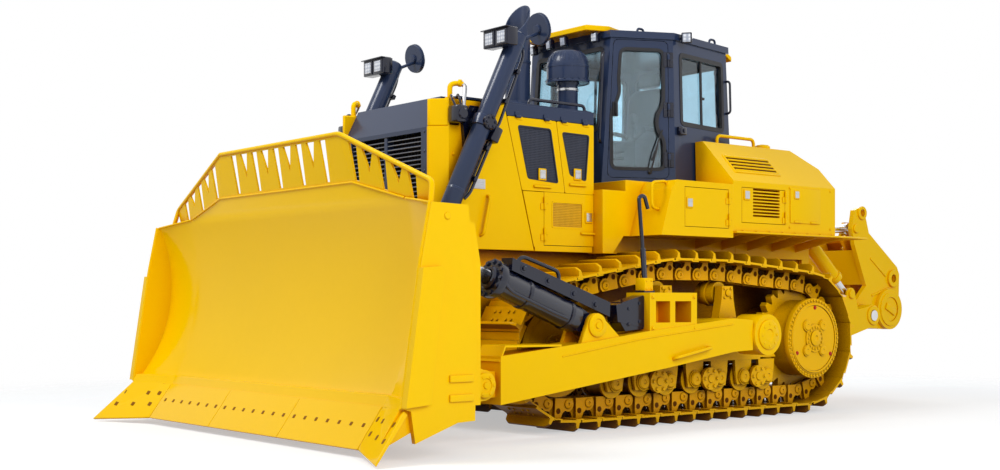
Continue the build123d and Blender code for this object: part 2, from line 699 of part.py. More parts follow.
def make_stacks():
    """The exhaust pipe with its slanted mouth, and the air cleaner's bowl on its neck."""
    tall = STACK_CUT + 2 * STACK_R
    pipe_wall = rod((STACK_X, 0, BAY_TOP), (STACK_X, 0, tall), STACK_R)
    mouth = Plane(origin=(STACK_X, 0, STACK_CUT), z_dir=(0.75, 0.25, 0.6))
    cut = mouth * Box(900, 900, 900, align=(Align.CENTER, Align.CENTER, Align.MIN))
    bore = rod((STACK_X, 0, BAY_TOP + 400), (STACK_X, 0, tall), STACK_R - STACK_WALL)
    shroud = block((STACK_X - 420, STACK_X + 60), (-200, 200), (BAY_TOP, BAY_TOP + SHROUD_H))
    shroud -= rod((STACK_X, 0, BAY_TOP - 1), (STACK_X, 0, BAY_TOP + SHROUD_H + 1), STACK_R)
    node("exhaust_stack", pipe_wall - cut - bore + shroud)
    x, y = CLEANER
    cleaner = rod((x, y, BAY_TOP - 130), (x, y, CLEANER_LOW - 20), CLEANER_NECK_R)
    cleaner += rod((x, y, CLEANER_LOW - 20), (x, y, CLEANER_LOW), CLEANER_NECK_R + 15)
    cleaner += rod((x, y, CLEANER_LOW), (x, y, CLEANER_SHOULDER), CLEANER_R)
    ball = Pos(x, y, CLEANER_SHOULDER) * Sphere(CLEANER_R)
    span = 1.5 * CLEANER_R
    cleaner += ball & block((x - span, x + span), (y - span, y + span), (CLEANER_SHOULDER, CLEANER_TOP))
    node("air_precleaner", cleaner)


# Cab

def cab_plan(inset, top):
    """The six-sided plan at the floor or the roof, moved in by a wall's thickness."""
    lean = CAB_LEAN if top else 0.0
    mid = CAB_MID_W - lean
    front_x = CAB_FRONT_X - (CAB_FRONT_RAKE if top else 0.0)
    rear_x = CAB_REAR_X + (CAB_REAR_LEAN if top else 0.0)
    front_slope = (CAB_MID_W - CAB_FRONT_W) / (CAB_FRONT_X - CAB_MID_X)
    rear_slope = (CAB_MID_W - CAB_REAR_W) / (CAB_MID_X - CAB_REAR_X)
    front_in = inset * math.hypot(1, front_slope)
    rear_in = inset * math.hypot(1, rear_slope)
    fx, rx = front_x - inset, rear_x + inset
    fy = mid - front_in - (fx - CAB_MID_X) * front_slope
    ry = mid - rear_in - (CAB_MID_X - rx) * rear_slope
    mx = CAB_MID_X + (rear_in - front_in) / (front_slope + rear_slope)
    my = mid - front_in - (mx - CAB_MID_X) * front_slope
    return [(fx, fy), (mx, my), (rx, ry), (rx, -ry), (mx, -my), (fx, -fy)]


def cab_solid(inset, low, high):
    """The cab's volume between two heights, its walls moved in."""
    bottom = cab_plan(inset, False)
    roof = cab_plan(inset, True)
    rise = CAB_TOP - CAB_FLOOR

    def at(z):
        share = (z - CAB_FLOOR) / rise
        return [between(p, q, share) for p, q in zip(bottom, roof)]

    rings = [[(*p, z) for p in at(z)] for z in (low, high)]
    outlines = [rings[0], rings[1]]
    for i in range(len(bottom)):
        j = (i + 1) % len(bottom)
        outlines.append([rings[0][i], rings[0][j], rings[1][j], rings[1][i]])
    faces = [Face(Wire.make_polygon(outline)) for outline in outlines]
    return Part() + Solid(Shell(faces))


def wall_plane(first, second, inset=0.0):
    """The plane of a cab wall between two corners of the plan, its normal outwards."""
    low, high = cab_plan(inset, False), cab_plan(inset, True)
    p0, p1 = Vector(*low[first], CAB_FLOOR), Vector(*low[second], CAB_FLOOR)
    p2 = Vector(*high[first], CAB_TOP)
    along = (p1 - p0).normalized()
    normal = along.cross(p2 - p0).normalized()
    return Plane(origin=p0, x_dir=along, z_dir=normal), (p1 - p0).length


def rounded(points, radius):
    """An outline with its corners rounded."""
    return fillet(Polygon(*points, align=None).vertices(), radius)


def on_wall(plane, sketch, low, high):
    """An outline on a wall, given thickness from low to high along its normal."""
    return extrude(plane.offset(low) * sketch, amount=high - low, dir=plane.z_dir)


WALL_H = math.hypot(CAB_TOP - CAB_FLOOR, CAB_LEAN)
DOOR_EDGE = 55.0
DOOR_REAR = 70.0          # from the door's opening to the cab's widest corner


def door_sketch(length, gap):
    """The cab door's outline on its wall, smaller by a gap."""
    slope = CAB_FRONT_RAKE * 0.72 / WALL_H
    low, high = DOOR_EDGE + gap, WALL_H - DOOR_EDGE - gap
    front = DOOR_EDGE + gap
    rear = length - DOOR_REAR - gap
    return rounded([
        (front + low * slope, low), (rear, low), (rear, high), (front + high * slope, high),
    ], 60 - gap)


def door_glass_sketch(length, grow):
    """The door's window, drawn in at the handle and at the hinge side."""
    left, right, low, high = 150 - grow, length - 120 + grow, 190 - grow, WALL_H - 190 + grow
    return rounded([
        (left, low), (right, low), (right, low + 330), (right - 85, low + 450), (right - 85, low + 600),
        (right - 10, low + 720), (right - 10, high), (left + 120, high), (left + 105, low + 860),
        (left + 125, low + 760), (left + 60, low + 620), (left, low + 560),
    ], 40)


def wall_window(first, second, margins, lean_first=0.0):
    """A window on a wall: margins are left, right, low and high."""
    plane, length = wall_plane(first, second)
    left, right, low, high = margins
    points = [
        (left + lean_first * low / WALL_H, low), (length - right, low),
        (length - right, WALL_H - high), (left + lean_first * (WALL_H - high) / WALL_H, WALL_H - high),
    ]
    return plane, points


def window_cut(plane, points):
    return on_wall(plane, rounded(points, 55), -CAB_WALL - 12, 40)


def window_glass(plane, points):
    return on_wall(plane, rounded(points, 55), -CAB_WALL / 2 - GLASS_T / 2, -CAB_WALL / 2 + GLASS_T / 2)


def make_cab():
    shell = cab_solid(0, CAB_FLOOR, CAB_TOP) - cab_solid(CAB_WALL, CAB_FLOOR + 60, CAB_TOP - 70)
    roof = cab_solid(-25, CAB_TOP - 40, CAB_TOP + 30)
    shell += roof
    door_plane, door_length = wall_plane(0, 1)
    opening = on_wall(door_plane, door_sketch(door_length, 0), -CAB_WALL - 12, 40)
    windows = [
        wall_window(1, 2, (130, 150, 640, 170)),
        wall_window(2, 3, (150, 150, 640, 170)),
        wall_window(5, 0, (90, 90, 560, 130)),
    ]
    cuts = [window_cut(*w) for w in windows]
    shell = shell - opening - right_of(opening) - cuts[0] - right_of(cuts[0]) - cuts[1] - cuts[2]
    hinge_x = door_length - DOOR_REAR - DOOR_GAP / 2
    hinge_plane = Plane(
        origin=door_plane.from_local_coords((hinge_x, WALL_H / 2, 0)),
        x_dir=-door_plane.x_dir, z_dir=door_plane.z_dir,
    )
    on_door, on_frame = hinge_set(hinge_plane, (-520, 0, 520))
    for leaf in on_frame:
        shell += leaf
        shell += right_of(leaf)
    node("cab_shell", shell)
    panes = [window_glass(*w) for w in windows]
    node("cab_glass", *both(panes[0]), panes[1], panes[2])
    panel = on_wall(door_plane, door_sketch(door_length, DOOR_GAP), -CAB_WALL, 0)
    panel -= on_wall(door_plane, door_glass_sketch(door_length, 0), -CAB_WALL - 20, 20)
    pane = (-CAB_WALL / 2 - GLASS_T / 2, -CAB_WALL / 2 + GLASS_T / 2)
    glass = on_wall(door_plane, door_glass_sketch(door_length, 0), *pane)
    panel = panel.fuse(*on_door)
    node("cab_door_left", panel)
    node("cab_door_right", right_of(panel))
    node("door_glass_left", glass)
    node("door_glass_right", right_of(glass))


def make_visors():
    """Yellow eyebrows over the windscreen and the rear window."""
    top = cab_plan(-25, True)
    z = CAB_TOP + 30
    front_x, rear_x = top[0][0], top[2][0]
    front = flat_plate([
        (front_x - 300, 480), (front_x - 60, 560), (front_x + 190, 470), (front_x + 190, -470),
        (front_x - 60, -560), (front_x - 300, -480),
    ], (z, z + 26))
    rear = flat_plate([
        (rear_x + 130, 620), (rear_x - 120, 580), (rear_x - 120, -580), (rear_x + 130, -620),
    ], (z, z + 26))
    node("sun_visors", front, rear)


def make_cab_inside():
    floor = CAB_FLOOR + 60
    pedestal = block((-560, -120), (-230, 230), (floor, floor + 330))
    cushion = block((-600, -60), (-270, 270), (floor + 330, floor + 470))
    back = side_plate([
        (-610, floor + 470), (-480, floor + 470), (-570, floor + 1100), (-680, floor + 1100),
    ], (-260, 260))
    head = block((-690, -590), (-150, 150), (floor + 1100, floor + 1280))
    node("operator_seat", pedestal + cushion + back + head)
    side = side_plate([
        (-560, floor), (80, floor), (80, floor + 420), (-60, floor + 520), (-560, floor + 520),
    ], (330, 500))
    dash = side_plate([
        (270, floor), (520, floor), (450, floor + 560), (300, floor + 620),
    ], (-330, 330))
    lever = rod((0, 415, floor + 440), (20, 415, floor + 660), 22)
    node("control_consoles", side + lever, right_of(side) + right_of(lever), dash)


# Fenders, tanks and deck

def make_platform():
    base = side_plate([
        (BAY_REAR, HULL_TOP), (BAY_REAR, CAB_FLOOR - 110), (CAB_FRONT_X + 30, CAB_FLOOR - 110),
        (CAB_FRONT_X + 30, CAB_FLOOR), (CAB_REAR_X - 60, CAB_FLOOR), (CAB_REAR_X - 60, HULL_TOP),
    ], (-PLATFORM_W + 220, PLATFORM_W - 220))
    wing = side_plate([
        (BAY_REAR, FENDER_BOTTOM - 180), (BAY_REAR, CAB_FLOOR - 110), (CAB_FRONT_X + 30, CAB_FLOOR - 110),
        (CAB_FRONT_X + 30, CAB_FLOOR), (FENDER_REAR, CAB_FLOOR), (FENDER_REAR, FENDER_BOTTOM),
        (FENDER_FRONT + 80, FENDER_BOTTOM), (BAY_REAR - 140, FENDER_BOTTOM - 180),
    ], (PLATFORM_W - 220, PLATFORM_W))
    node("cab_platform", base + wing + right_of(wing))


FENDER_DOOR = (FENDER_REAR + 70, FENDER_FRONT - 330, FENDER_BOTTOM + 90, FENDER_TOP - 60)
TANK_DOOR = (FENDER_REAR - 830, FENDER_REAR - 130, DECK_Z + 90, TANK_CHAMFER_Z - 60)
LOCKER_DEPTH = 260.0
FENDER_DOOR_T = 30.0


def locker_door(spans, gap):
    """A flush door on the outer side of a fender or tank."""
    x0, x1, z0, z1 = spans
    return block((x0 + gap, x1 - gap), (FENDER_W - FENDER_DOOR_T, FENDER_W), (z0 + gap, z1 - gap))


def locker_hinges(spans):
    x0, _, z0, z1 = spans
    plane = Plane(origin=(x0 + DOOR_GAP / 2, FENDER_W, (z0 + z1) / 2), x_dir=(1, 0, 0), z_dir=(0, 1, 0))
    return hinge_set(plane, (-110, 110))


def locker(spans):
    x0, x1, z0, z1 = spans
    return block((x0, x1), (FENDER_W - LOCKER_DEPTH, FENDER_W + 1), (z0, z1))


def make_fenders():
    box = side_plate([
        (FENDER_FRONT, FENDER_BOTTOM), (FENDER_FRONT - 150, FENDER_TOP - 90),
        (FENDER_FRONT - 220, FENDER_TOP),
        (FENDER_REAR, FENDER_TOP), (FENDER_REAR, FENDER_BOTTOM),
    ], (PLATFORM_W, FENDER_W))
    on_door, on_frame = locker_hinges(FENDER_DOOR)
    box = (box - locker(FENDER_DOOR)).fuse(*on_frame)
    door = locker_door(FENDER_DOOR, DOOR_GAP).fuse(*on_door)
    node("fenders", *both(box))
    node("fender_door_left", door)
    node("fender_door_right", right_of(door))


def make_tanks():
    section = [
        (TANK_INNER_W, DECK_Z), (FENDER_W, DECK_Z), (FENDER_W, TANK_CHAMFER_Z),
        (TANK_CHAMFER_W, TANK_TOP), (TANK_INNER_W, TANK_TOP),
    ]
    tank = front_plate(section, (TANK_REAR, FENDER_REAR))
    slope = Plane(origin=(TANK_REAR + 260, 0, TANK_TOP), z_dir=(-0.62, 0, 0.78))
    slope *= Box(1200, 4000, 600, align=(Align.CENTER, Align.CENTER, Align.MIN))
    tank = tank - slope - locker(TANK_DOOR) - cab_solid(-CAB_CLEAR, CAB_FLOOR, CAB_TOP)
    on_door, on_frame = locker_hinges(TANK_DOOR)
    node("rear_tanks", *both(tank.fuse(*on_frame)))
    door = locker_door(TANK_DOOR, DOOR_GAP)
    for i in range(9):
        z = TANK_DOOR[2] + 70 + i * 34
        slot_y = (FENDER_W - FENDER_DOOR_T - 1, FENDER_W + 1)
        door -= block((TANK_DOOR[0] + 90, TANK_DOOR[1] - 180), slot_y, (z, z + 20))
    door = door.fuse(*on_door)
    node("tank_door_left", door)
    node("tank_door_right", right_of(door))


def make_deck():
    inner = PLATFORM_W - 220
    plate = flat_plate([
        (FENDER_REAR, inner), (FENDER_REAR, DECK_W), (TANK_REAR - 200, DECK_W), (DECK_REAR, DECK_W - 60),
        (DECK_REAR, inner),
    ], (DECK_Z - PLATE, DECK_Z))
    for i in range(5):
        x = FENDER_REAR - 160 - i * 420
        plate += front_plate([
            (inner, DECK_Z - PLATE), (DECK_W - 40, DECK_Z - PLATE), (inner, DECK_Z - 160),
        ], (x - 10, x + 10))
    plate += block((HULL_REAR, CAB_REAR_X - 60), (HULL_HALF_W - 80, inner), (HULL_TOP, DECK_Z))
    node("rear_deck", *both(plate))


# Push arms and blade

def arm_outline():
    px, pz = ARM_PIN
    tx, tz = TRUNNION
    return [
        (px - 165, pz + 240), (1867, 856), (1206, 934), (36, 1042),
        (tx + 200, tz + 150), (tx + 200, tz - 150),
        (36, 713), (982, 583), (px - 165, pz - 172),
    ]


EAR_T = 45.0
TILT_EAR_GAP = 100.0      # half the gap between the ears of a tilt cylinder
NOSE_HALF_W = 90.0
CRADLE_TOP = 1290.0


def tilt_ear(x, z, y):
    """A rounded ear on the push arm for the tilt cylinder's rear pin."""
    ear = side_plate([(x - 330, 850), (x + 190, 830), (x + 90, z + 60), (x - 90, z + 60)], y)
    return ear + cross_bar(x, z, 110, y)


def make_push_arms():
    half = ARM_W / 2
    arm = side_plate(arm_outline(), (ARM_Y - half, ARM_Y + half))
    nose = cross_bar(*ARM_PIN, 125, (ARM_Y - NOSE_HALF_W, ARM_Y + NOSE_HALF_W))
    nose_y = (ARM_Y - NOSE_HALF_W, ARM_Y + NOSE_HALF_W)
    nose += block((ARM_PIN[0] - 170, ARM_PIN[0]), nose_y, (ARM_PIN[1] - 110, ARM_PIN[1] + 110))
    pin_half = NOSE_HALF_W + EAR_T + 20
    pin = cross_bar(*ARM_PIN, ARM_PIN_R, (ARM_Y - pin_half, ARM_Y + pin_half))
    socket = cross_bar(*TRUNNION, 205, (ARM_Y - 120, ARM_Y + half + 30))
    bore = cross_bar(*TRUNNION, TRUNNION_R + PIN_PLAY, (ARM_Y - half - 1, ARM_Y + 20 + PIN_PLAY))
    arm = arm + nose + pin + socket - bore
    for side in (-1, 1):
        y = sorted((ARM_Y + side * TILT_EAR_GAP, ARM_Y + side * (TILT_EAR_GAP + EAR_T)))
        arm += tilt_ear(*TILT_REAR, y)
    arm += cross_bar(*TILT_REAR, TILT_PIN_R, (ARM_Y - TILT_EAR_GAP - 5, ARM_Y + TILT_EAR_GAP + 5))
    cradle = block((560, 1200), (ARM_Y - half + 10, ARM_Y + half - 10), (900, CRADLE_TOP))
    cradle -= block((640, 860), (ARM_Y - half - 1, ARM_Y + half + 1), (1010, 1210))
    cradle -= block((930, 1120), (ARM_Y, ARM_Y + half + 1), (1010, 1210))
    arm += cradle
    node("push_arms", *both(arm))
    guard = side_plate([
        (1200, 1265), (1200, 950), (1440, 930), (1500, 1010), (1470, 1200),
    ], (ARM_Y - 75, ARM_Y + 75))
    node("tilt_hose_guards", *both(guard))


def circle_through(a, b, c):
    """Centre and radius of the circle through three points."""
    turn = 2 * (a[0] * (b[1] - c[1]) + b[0] * (c[1] - a[1]) + c[0] * (a[1] - b[1]))
    squares = [p[0] ** 2 + p[1] ** 2 for p in (a, b, c)]
    x = (squares[0] * (b[1] - c[1]) + squares[1] * (c[1] - a[1]) + squares[2] * (a[1] - b[1])) / turn
    z = (squares[0] * (c[0] - b[0]) + squares[1] * (a[0] - c[0]) + squares[2] * (b[0] - a[0])) / turn
    return x, z, math.dist((x, z), a)


WING_LOW = (BLADE_LOW[0] + BLADE_WING_DX, BLADE_LOW[1])
WING_END = BLADE_HALF_W - 30.0
BLADE_CIRCLE = circle_through(BLADE_LOW, BLADE_MID, BLADE_HIGH)
WING_CIRCLE = circle_through(WING_LOW, WING_MID, WING_HIGH)


def face_x(circle, z):
    """The hollow front face of the mouldboard at a height."""
    return circle[0] - math.sqrt(circle[2] ** 2 - (z - circle[1]) ** 2)


def wing_x(y, z):
    """The front face of a wing at a distance from the middle."""
    share = (abs(y) - BLADE_WING_W) / (WING_END - BLADE_WING_W)
    return face_x(BLADE_CIRCLE, z) + (face_x(WING_CIRCLE, z) - face_x(BLADE_CIRCLE, z)) * share


def curved_section(circle, low, high):
    """The section of a plate whose front face follows a circle between two heights."""
    heights = (low, (low + high) / 2, high)
    front = [(face_x(circle, z), z) for z in heights]
    back = [(x - BLADE_T, z) for x, z in front]
    arcs = [ThreePointArc(*front), ThreePointArc(*back[::-1])]
    ends = [Line(front[2], back[2]), Line(back[0], front[0])]
    return make_face([arcs[0], ends[0], arcs[1], ends[1]])


def lip_outline():
    """The thick lower lip behind the cutting edge, in the middle section."""
    low, high = BLADE_LOW[0], BLADE_LOW[1]
    return [
        (low - 250, high + 120), (low - 20, high + 90), (low + 20, high + 12),
        (EDGE_TIP[0] - 70, EDGE_TIP[1] + 70),
        (EDGE_TIP[0] - 150, EDGE_TIP[1] + 70), (low - 180, high - 120),
    ]


def blade_ears(centre, gap, width, pin, radius, foot):
    """Two ears either side of a pin, running forward to the blade's back."""
    ears = []
    for side in (-1, 1):
        y = sorted((centre + side * gap, centre + side * (gap + width)))
        outline = [(pin[0], pin[1] - radius), foot[0], foot[1], (pin[0], pin[1] + radius)]
        ears.append(side_plate(outline, y) + cross_bar(*pin, radius, y))
    return ears


def make_mouldboard():
    wing_start = Plane.XZ.offset(-BLADE_WING_W)
    wing_end = Plane.XZ.offset(-WING_END)
    section = wing_start * curved_section(BLADE_CIRCLE, BLADE_LOW[1], BLADE_HIGH[1])
    middle = extrude(section, amount=2 * BLADE_WING_W, dir=(0, -1, 0))
    corner = front_plate([
        (BLADE_CREST_W, BLADE_HIGH[1]), (BLADE_WING_W, WING_TOP), (BLADE_WING_W + 1, BLADE_HIGH[1] + 1),
        (BLADE_CREST_W, BLADE_HIGH[1] + 1),
    ], (BLADE_MID[0], BLADE_HIGH[0] + 100))
    middle = middle - corner - right_of(corner)
    inner = wing_start * curved_section(BLADE_CIRCLE, BLADE_LOW[1], WING_TOP)
    outer = wing_end * curved_section(WING_CIRCLE, BLADE_LOW[1], WING_HIGH[1])
    wing = loft([inner, outer])
    end = side_plate(END_PLATE, (WING_END, WING_END + END_PLATE_T))
    top_x = face_x(BLADE_CIRCLE, WING_TOP)
    back = side_plate([
        (BLADE_LOW[0] - 60, BLADE_LOW[1] - 40), (BLADE_LOW[0] - 30, BLADE_LOW[1] + 40),
        (BLADE_MID[0] - 20, BLADE_MID[1] - 330), (BLADE_MID[0] - 20, BLADE_MID[1] + 420),
        (top_x - 30, WING_TOP - 20), (top_x - 170, WING_TOP - 30),
        (3640, 1500), (3620, 380), (3720, 330),
    ], (-BLADE_WING_W, BLADE_WING_W))
    lip = side_plate(lip_outline(), (-BLADE_WING_W, BLADE_WING_W))
    lip_in = wing_start * Polygon(*lip_outline(), align=None)
    moved = [(x + BLADE_WING_DX, z) for x, z in lip_outline()]
    lip_out = wing_end * Polygon(*moved, align=None)
    lip_wing = loft([lip_in, lip_out])
    box = side_plate([
        (3640, 400), (3860, 400), (3860, 1820), (3700, 1820), (3640, 1500),
    ], (BLADE_WING_W, BLADE_HALF_W - 20))
    halves = [wing, end, lip_wing, box]
    halves += blade_ears(ARM_Y, NOSE_HALF_W + 6, EAR_T, ARM_PIN, 130, ((3760, 330), (3860, 900)))
    halves += blade_ears(ARM_Y, 86, EAR_T, TILT_EYE, 110, ((3760, 1300), (3840, 1800)))
    halves += blade_ears(LIFT_Y, 76, 40, LIFT_EYE, 105, ((3720, 820), (3720, 1280)))
    board = middle + back + lip
    for piece in halves:
        board += piece
        board += right_of(piece)
    long_bore = (ARM_Y - 200, ARM_Y + 200)
    bore = cross_bar(*ARM_PIN, ARM_PIN_R + PIN_PLAY, long_bore)
    board = board - bore - right_of(bore)
    edges = cutting_edges()
    bits = both(end_bit())
    for piece in edges + bits:
        board -= piece
    node("mouldboard", board)
    node("blade_edges", *edges, *bits)
    node("spill_screen", screen(wing))


def cutting_edges():
    """Three bolt-on lengths of straight edge."""
    low, high = EDGE_TIP, (BLADE_LOW[0] + 34, BLADE_LOW[1] + 6)
    length = math.dist(low, high)
    back = ((low[1] - high[1]) / length * EDGE_T, (high[0] - low[0]) / length * EDGE_T)
    outline = [
        low, high, (high[0] + back[0], high[1] + back[1]),
        (low[0] + back[0] * 0.4, low[1] + back[1] * 0.4),
    ]
    third = 2 * EDGE_HALF_W / 3
    starts = [-EDGE_HALF_W + i * third for i in range(3)]
    return [side_plate(outline, (start + 2, start + third - 2)) for start in starts]


def edge_section(low, high, outward):
    """A thin tapered section between a low and a high corner, on its own plane."""
    low, high = Vector(*low), Vector(*high)
    up = (high - low).normalized()
    normal = (Vector(*outward) - up * Vector(*outward).dot(up)).normalized()
    plane = Plane(origin=low, x_dir=up, z_dir=normal)
    length = (high - low).length
    side = 1 if plane.y_dir.X < 0 else -1
    points = [(0, 0), (length, 0), (length, side * EDGE_T), (0, side * EDGE_T * 0.4)]
    return plane * Polygon(*points, align=None)


def end_bit():
    """A flared corner bit between the straight edge and the blade's end."""
    inner_y = EDGE_HALF_W + 4
    inner_top = (BLADE_LOW[0] + 34, inner_y, BLADE_LOW[1] + 6)
    outer_top = (BLADE_LOW[0] + BLADE_WING_DX, BLADE_HALF_W + 12, BLADE_LOW[1] + 12)
    inner = edge_section((EDGE_TIP[0], inner_y, EDGE_TIP[1]), inner_top, (0, 1, 0))
    outer = edge_section(BIT_TIP, outer_top, (0, 1, 0))
    return loft([inner, outer], ruled=True)


RAIL_R = 22.0


def screen_panel(bottom, top, stations):
    """A flat plate between a bottom and a top line, with a slot at each station in Y.

    A notch is cut into the plate's top half-way between two slots.
    """
    start = Vector(*bottom[0])
    run, rise = Vector(*bottom[1]) - start, Vector(*top[0]) - start
    plane = Plane(origin=start, x_dir=run.normalized(), z_dir=run.cross(rise).normalized())

    def spot(y, share):
        low = between(*bottom, (y - bottom[0][1]) / (bottom[1][1] - bottom[0][1]))
        high = between(*top, (y - top[0][1]) / (top[1][1] - top[0][1]))
        local = plane.to_local_coords(Vector(*between(low, high, share)))
        return local.X, local.Y

    def cutter(*points):
        return extrude(plane * Polygon(*points, align=None), amount=SCREEN_T, both=True)

    corners = [plane.to_local_coords(Vector(*p)) for p in (*bottom, *top[::-1])]
    outline = Polygon(*[(c.X, c.Y) for c in corners], align=None)
    panel = extrude(plane * outline, amount=SCREEN_T / 2, both=True)
    for y in stations:
        panel -= cutter(spot(y - 18, 0.1), spot(y + 18, 0.1), spot(y + 36, 0.93), spot(y - 36, 0.93))
    for y in [first + SCREEN_PITCH / 2 for first in stations[:-1]]:
        panel -= cutter(spot(y, 0.42), spot(y + 44, 0.93), spot(y - 44, 0.93))
    return panel


def screen(wing):
    """The spill screen: a slotted plate in three flats under a bent top rail, its ends on the wings."""
    crest_x, crest_z = BLADE_HIGH[0] - BLADE_T / 2, BLADE_HIGH[1] - SCREEN_SINK
    crest = (crest_x, BLADE_CREST_W, crest_z)
    corner = (BLADE_HIGH[0] + SCREEN_LEAN, SCREEN_TOP_W, BLADE_HIGH[1] + SCREEN_RISE - RAIL_R)
    end = (BLADE_HIGH[0] + SCREEN_END_DX, SCREEN_END_W, BLADE_HIGH[1] + SCREEN_END_DZ - RAIL_R)
    foot_y = SCREEN_END_W + 50
    foot = (wing_x(foot_y, WING_HIGH[1] - 60) - BLADE_T - RAIL_R + 10, foot_y, WING_HIGH[1] - 60)
    slope = (WING_TOP - BLADE_HIGH[1]) / (BLADE_WING_W - BLADE_CREST_W)
    low_y = SCREEN_END_W - 40
    low_z = crest_z + slope * (low_y - BLADE_CREST_W)
    normal = (Vector(*corner) - Vector(*crest)).cross(Vector(*end) - Vector(*crest))
    low_x = crest_x - (normal.Y * (low_y - BLADE_CREST_W) + normal.Z * (low_z - crest_z)) / normal.X
    middle_stations = [i * SCREEN_PITCH for i in range(-2, 3)]
    side_stations = [i * SCREEN_PITCH for i in range(3, 6)]
    far_crest = (crest_x, -BLADE_CREST_W, crest_z)
    far_corner = (corner[0], -SCREEN_TOP_W, corner[2])
    middle = screen_panel((far_crest, crest), (far_corner, corner), middle_stations)
    side = screen_panel((crest, (low_x, low_y, low_z)), (corner, end), side_stations)
    cut_y = low_y + 10
    cut_z = BLADE_HIGH[1] + slope * (cut_y - BLADE_CREST_W)
    below = front_plate([
        (0, BLADE_HIGH[1]), (BLADE_CREST_W, BLADE_HIGH[1]), (cut_y, cut_z),
        (cut_y, BLADE_LOW[1]), (0, BLADE_LOW[1]),
    ], (BLADE_MID[0], BLADE_HIGH[0] + 200))
    middle = middle - below - right_of(below)
    side = side - below - wing
    half = [side, rod(corner, end, RAIL_R), rod(end, foot, RAIL_R) - wing]
    half += [Pos(*p) * Sphere(RAIL_R) for p in (corner, end)]
    rail = rod(far_corner, corner, RAIL_R)
    return middle.fuse(rail, *both(*half))


# Hydraulic cylinders

def along(start, end, distance, lift=0.0):
    """A point along a line in X and Z, moved square to it by lift."""
    length = math.dist(start, end)
    dx, dz = (end[0] - start[0]) / length, (end[1] - start[1]) / length
    return start[0] + dx * distance - dz * lift, start[1] + dz * distance + dx * lift


def tube(start, end, y, low, high, radius):
    """A round bar on a cylinder's axis between two distances from its first pin."""
    a, b = along(start, end, low), along(start, end, high)
    return rod((a[0], y, a[1]), (b[0], y, b[1]), radius)


def cylinder_rod(start, end, y, low, radius, eye_r, half_w):
    """A rod that runs out to its eye."""
    length = math.dist(start, end)
    bar = tube(start, end, y, low, length - eye_r * 0.6, radius)
    ring = cross_bar(*end, eye_r, (y - half_w, y + half_w))
    return bar + ring - cross_bar(*end, eye_r * 0.5, (y - half_w - 1, y + half_w + 1))


def make_lift_cylinders():
    line = (LIFT_PIVOT, LIFT_EYE, LIFT_Y)
    barrel = tube(*line, -LIFT_ABOVE, LIFT_BELOW, LIFT_TUBE_R)
    barrel += tube(*line, LIFT_BELOW - 110, LIFT_BELOW, LIFT_TUBE_R + 18)
    barrel += tube(*line, -LIFT_ABOVE, -LIFT_ABOVE + 60, LIFT_TUBE_R + 8)
    barrel += tube(*line, -90, 90, LIFT_TUBE_R + 14)
    barrel -= tube(*line, -LIFT_ABOVE + 60, LIFT_BELOW + 1, LIFT_ROD_R + ROD_PLAY)
    barrel += cross_bar(*LIFT_PIVOT, TRUNNION_PIN_R, (BAY_HALF_W + 22, LIFT_Y - LIFT_TUBE_R))
    node("lift_barrels", *both(barrel))
    node("lift_rods", *both(cylinder_rod(*line, LIFT_ROD_REST, LIFT_ROD_R, 92, 70)))
    x, z = LIFT_PIVOT
    yoke = side_plate([
        (x - 170, z - 210), (x + 120, z - 210), (x + 150, z + 60), (x + 60, z + 170), (x - 120, z + 170),
    ], (BAY_HALF_W, LIFT_Y - LIFT_TUBE_R - 20))
    yoke -= cross_bar(x, z, TRUNNION_PIN_R + PIN_PLAY, (BAY_HALF_W + 20, LIFT_Y))
    node("lift_yokes", *both(yoke))
    top = along(LIFT_PIVOT, LIFT_EYE, -LIFT_ABOVE + 90)
    lamp = block((LAMP_X, LAMP_X + 240), (LIFT_Y - 180, LIFT_Y + 180), (LAMP_Z, LAMP_Z + 165))
    stay = block((top[0], LAMP_X), (LIFT_Y - 60, LIFT_Y + 60), (LAMP_Z + 20, LAMP_Z + 50))
    lamp += stay
    room = tube(*line, -LIFT_ABOVE, 0, LIFT_TUBE_R)
    room += tube(*line, -LIFT_ABOVE, -LIFT_ABOVE + 60, LIFT_TUBE_R + 8)
    node("work_lamps", *both(lamp - room))
    disc = rod((MIRROR[0], LIFT_Y, MIRROR[1]), (MIRROR[0] - 30, LIFT_Y, MIRROR[1] + 6), 145)
    stalk = rod((top[0], LIFT_Y, top[1]), (MIRROR[0] - 5, LIFT_Y, MIRROR[1] - 40), 16)
    node("round_mirrors", *both(disc + stalk - room))


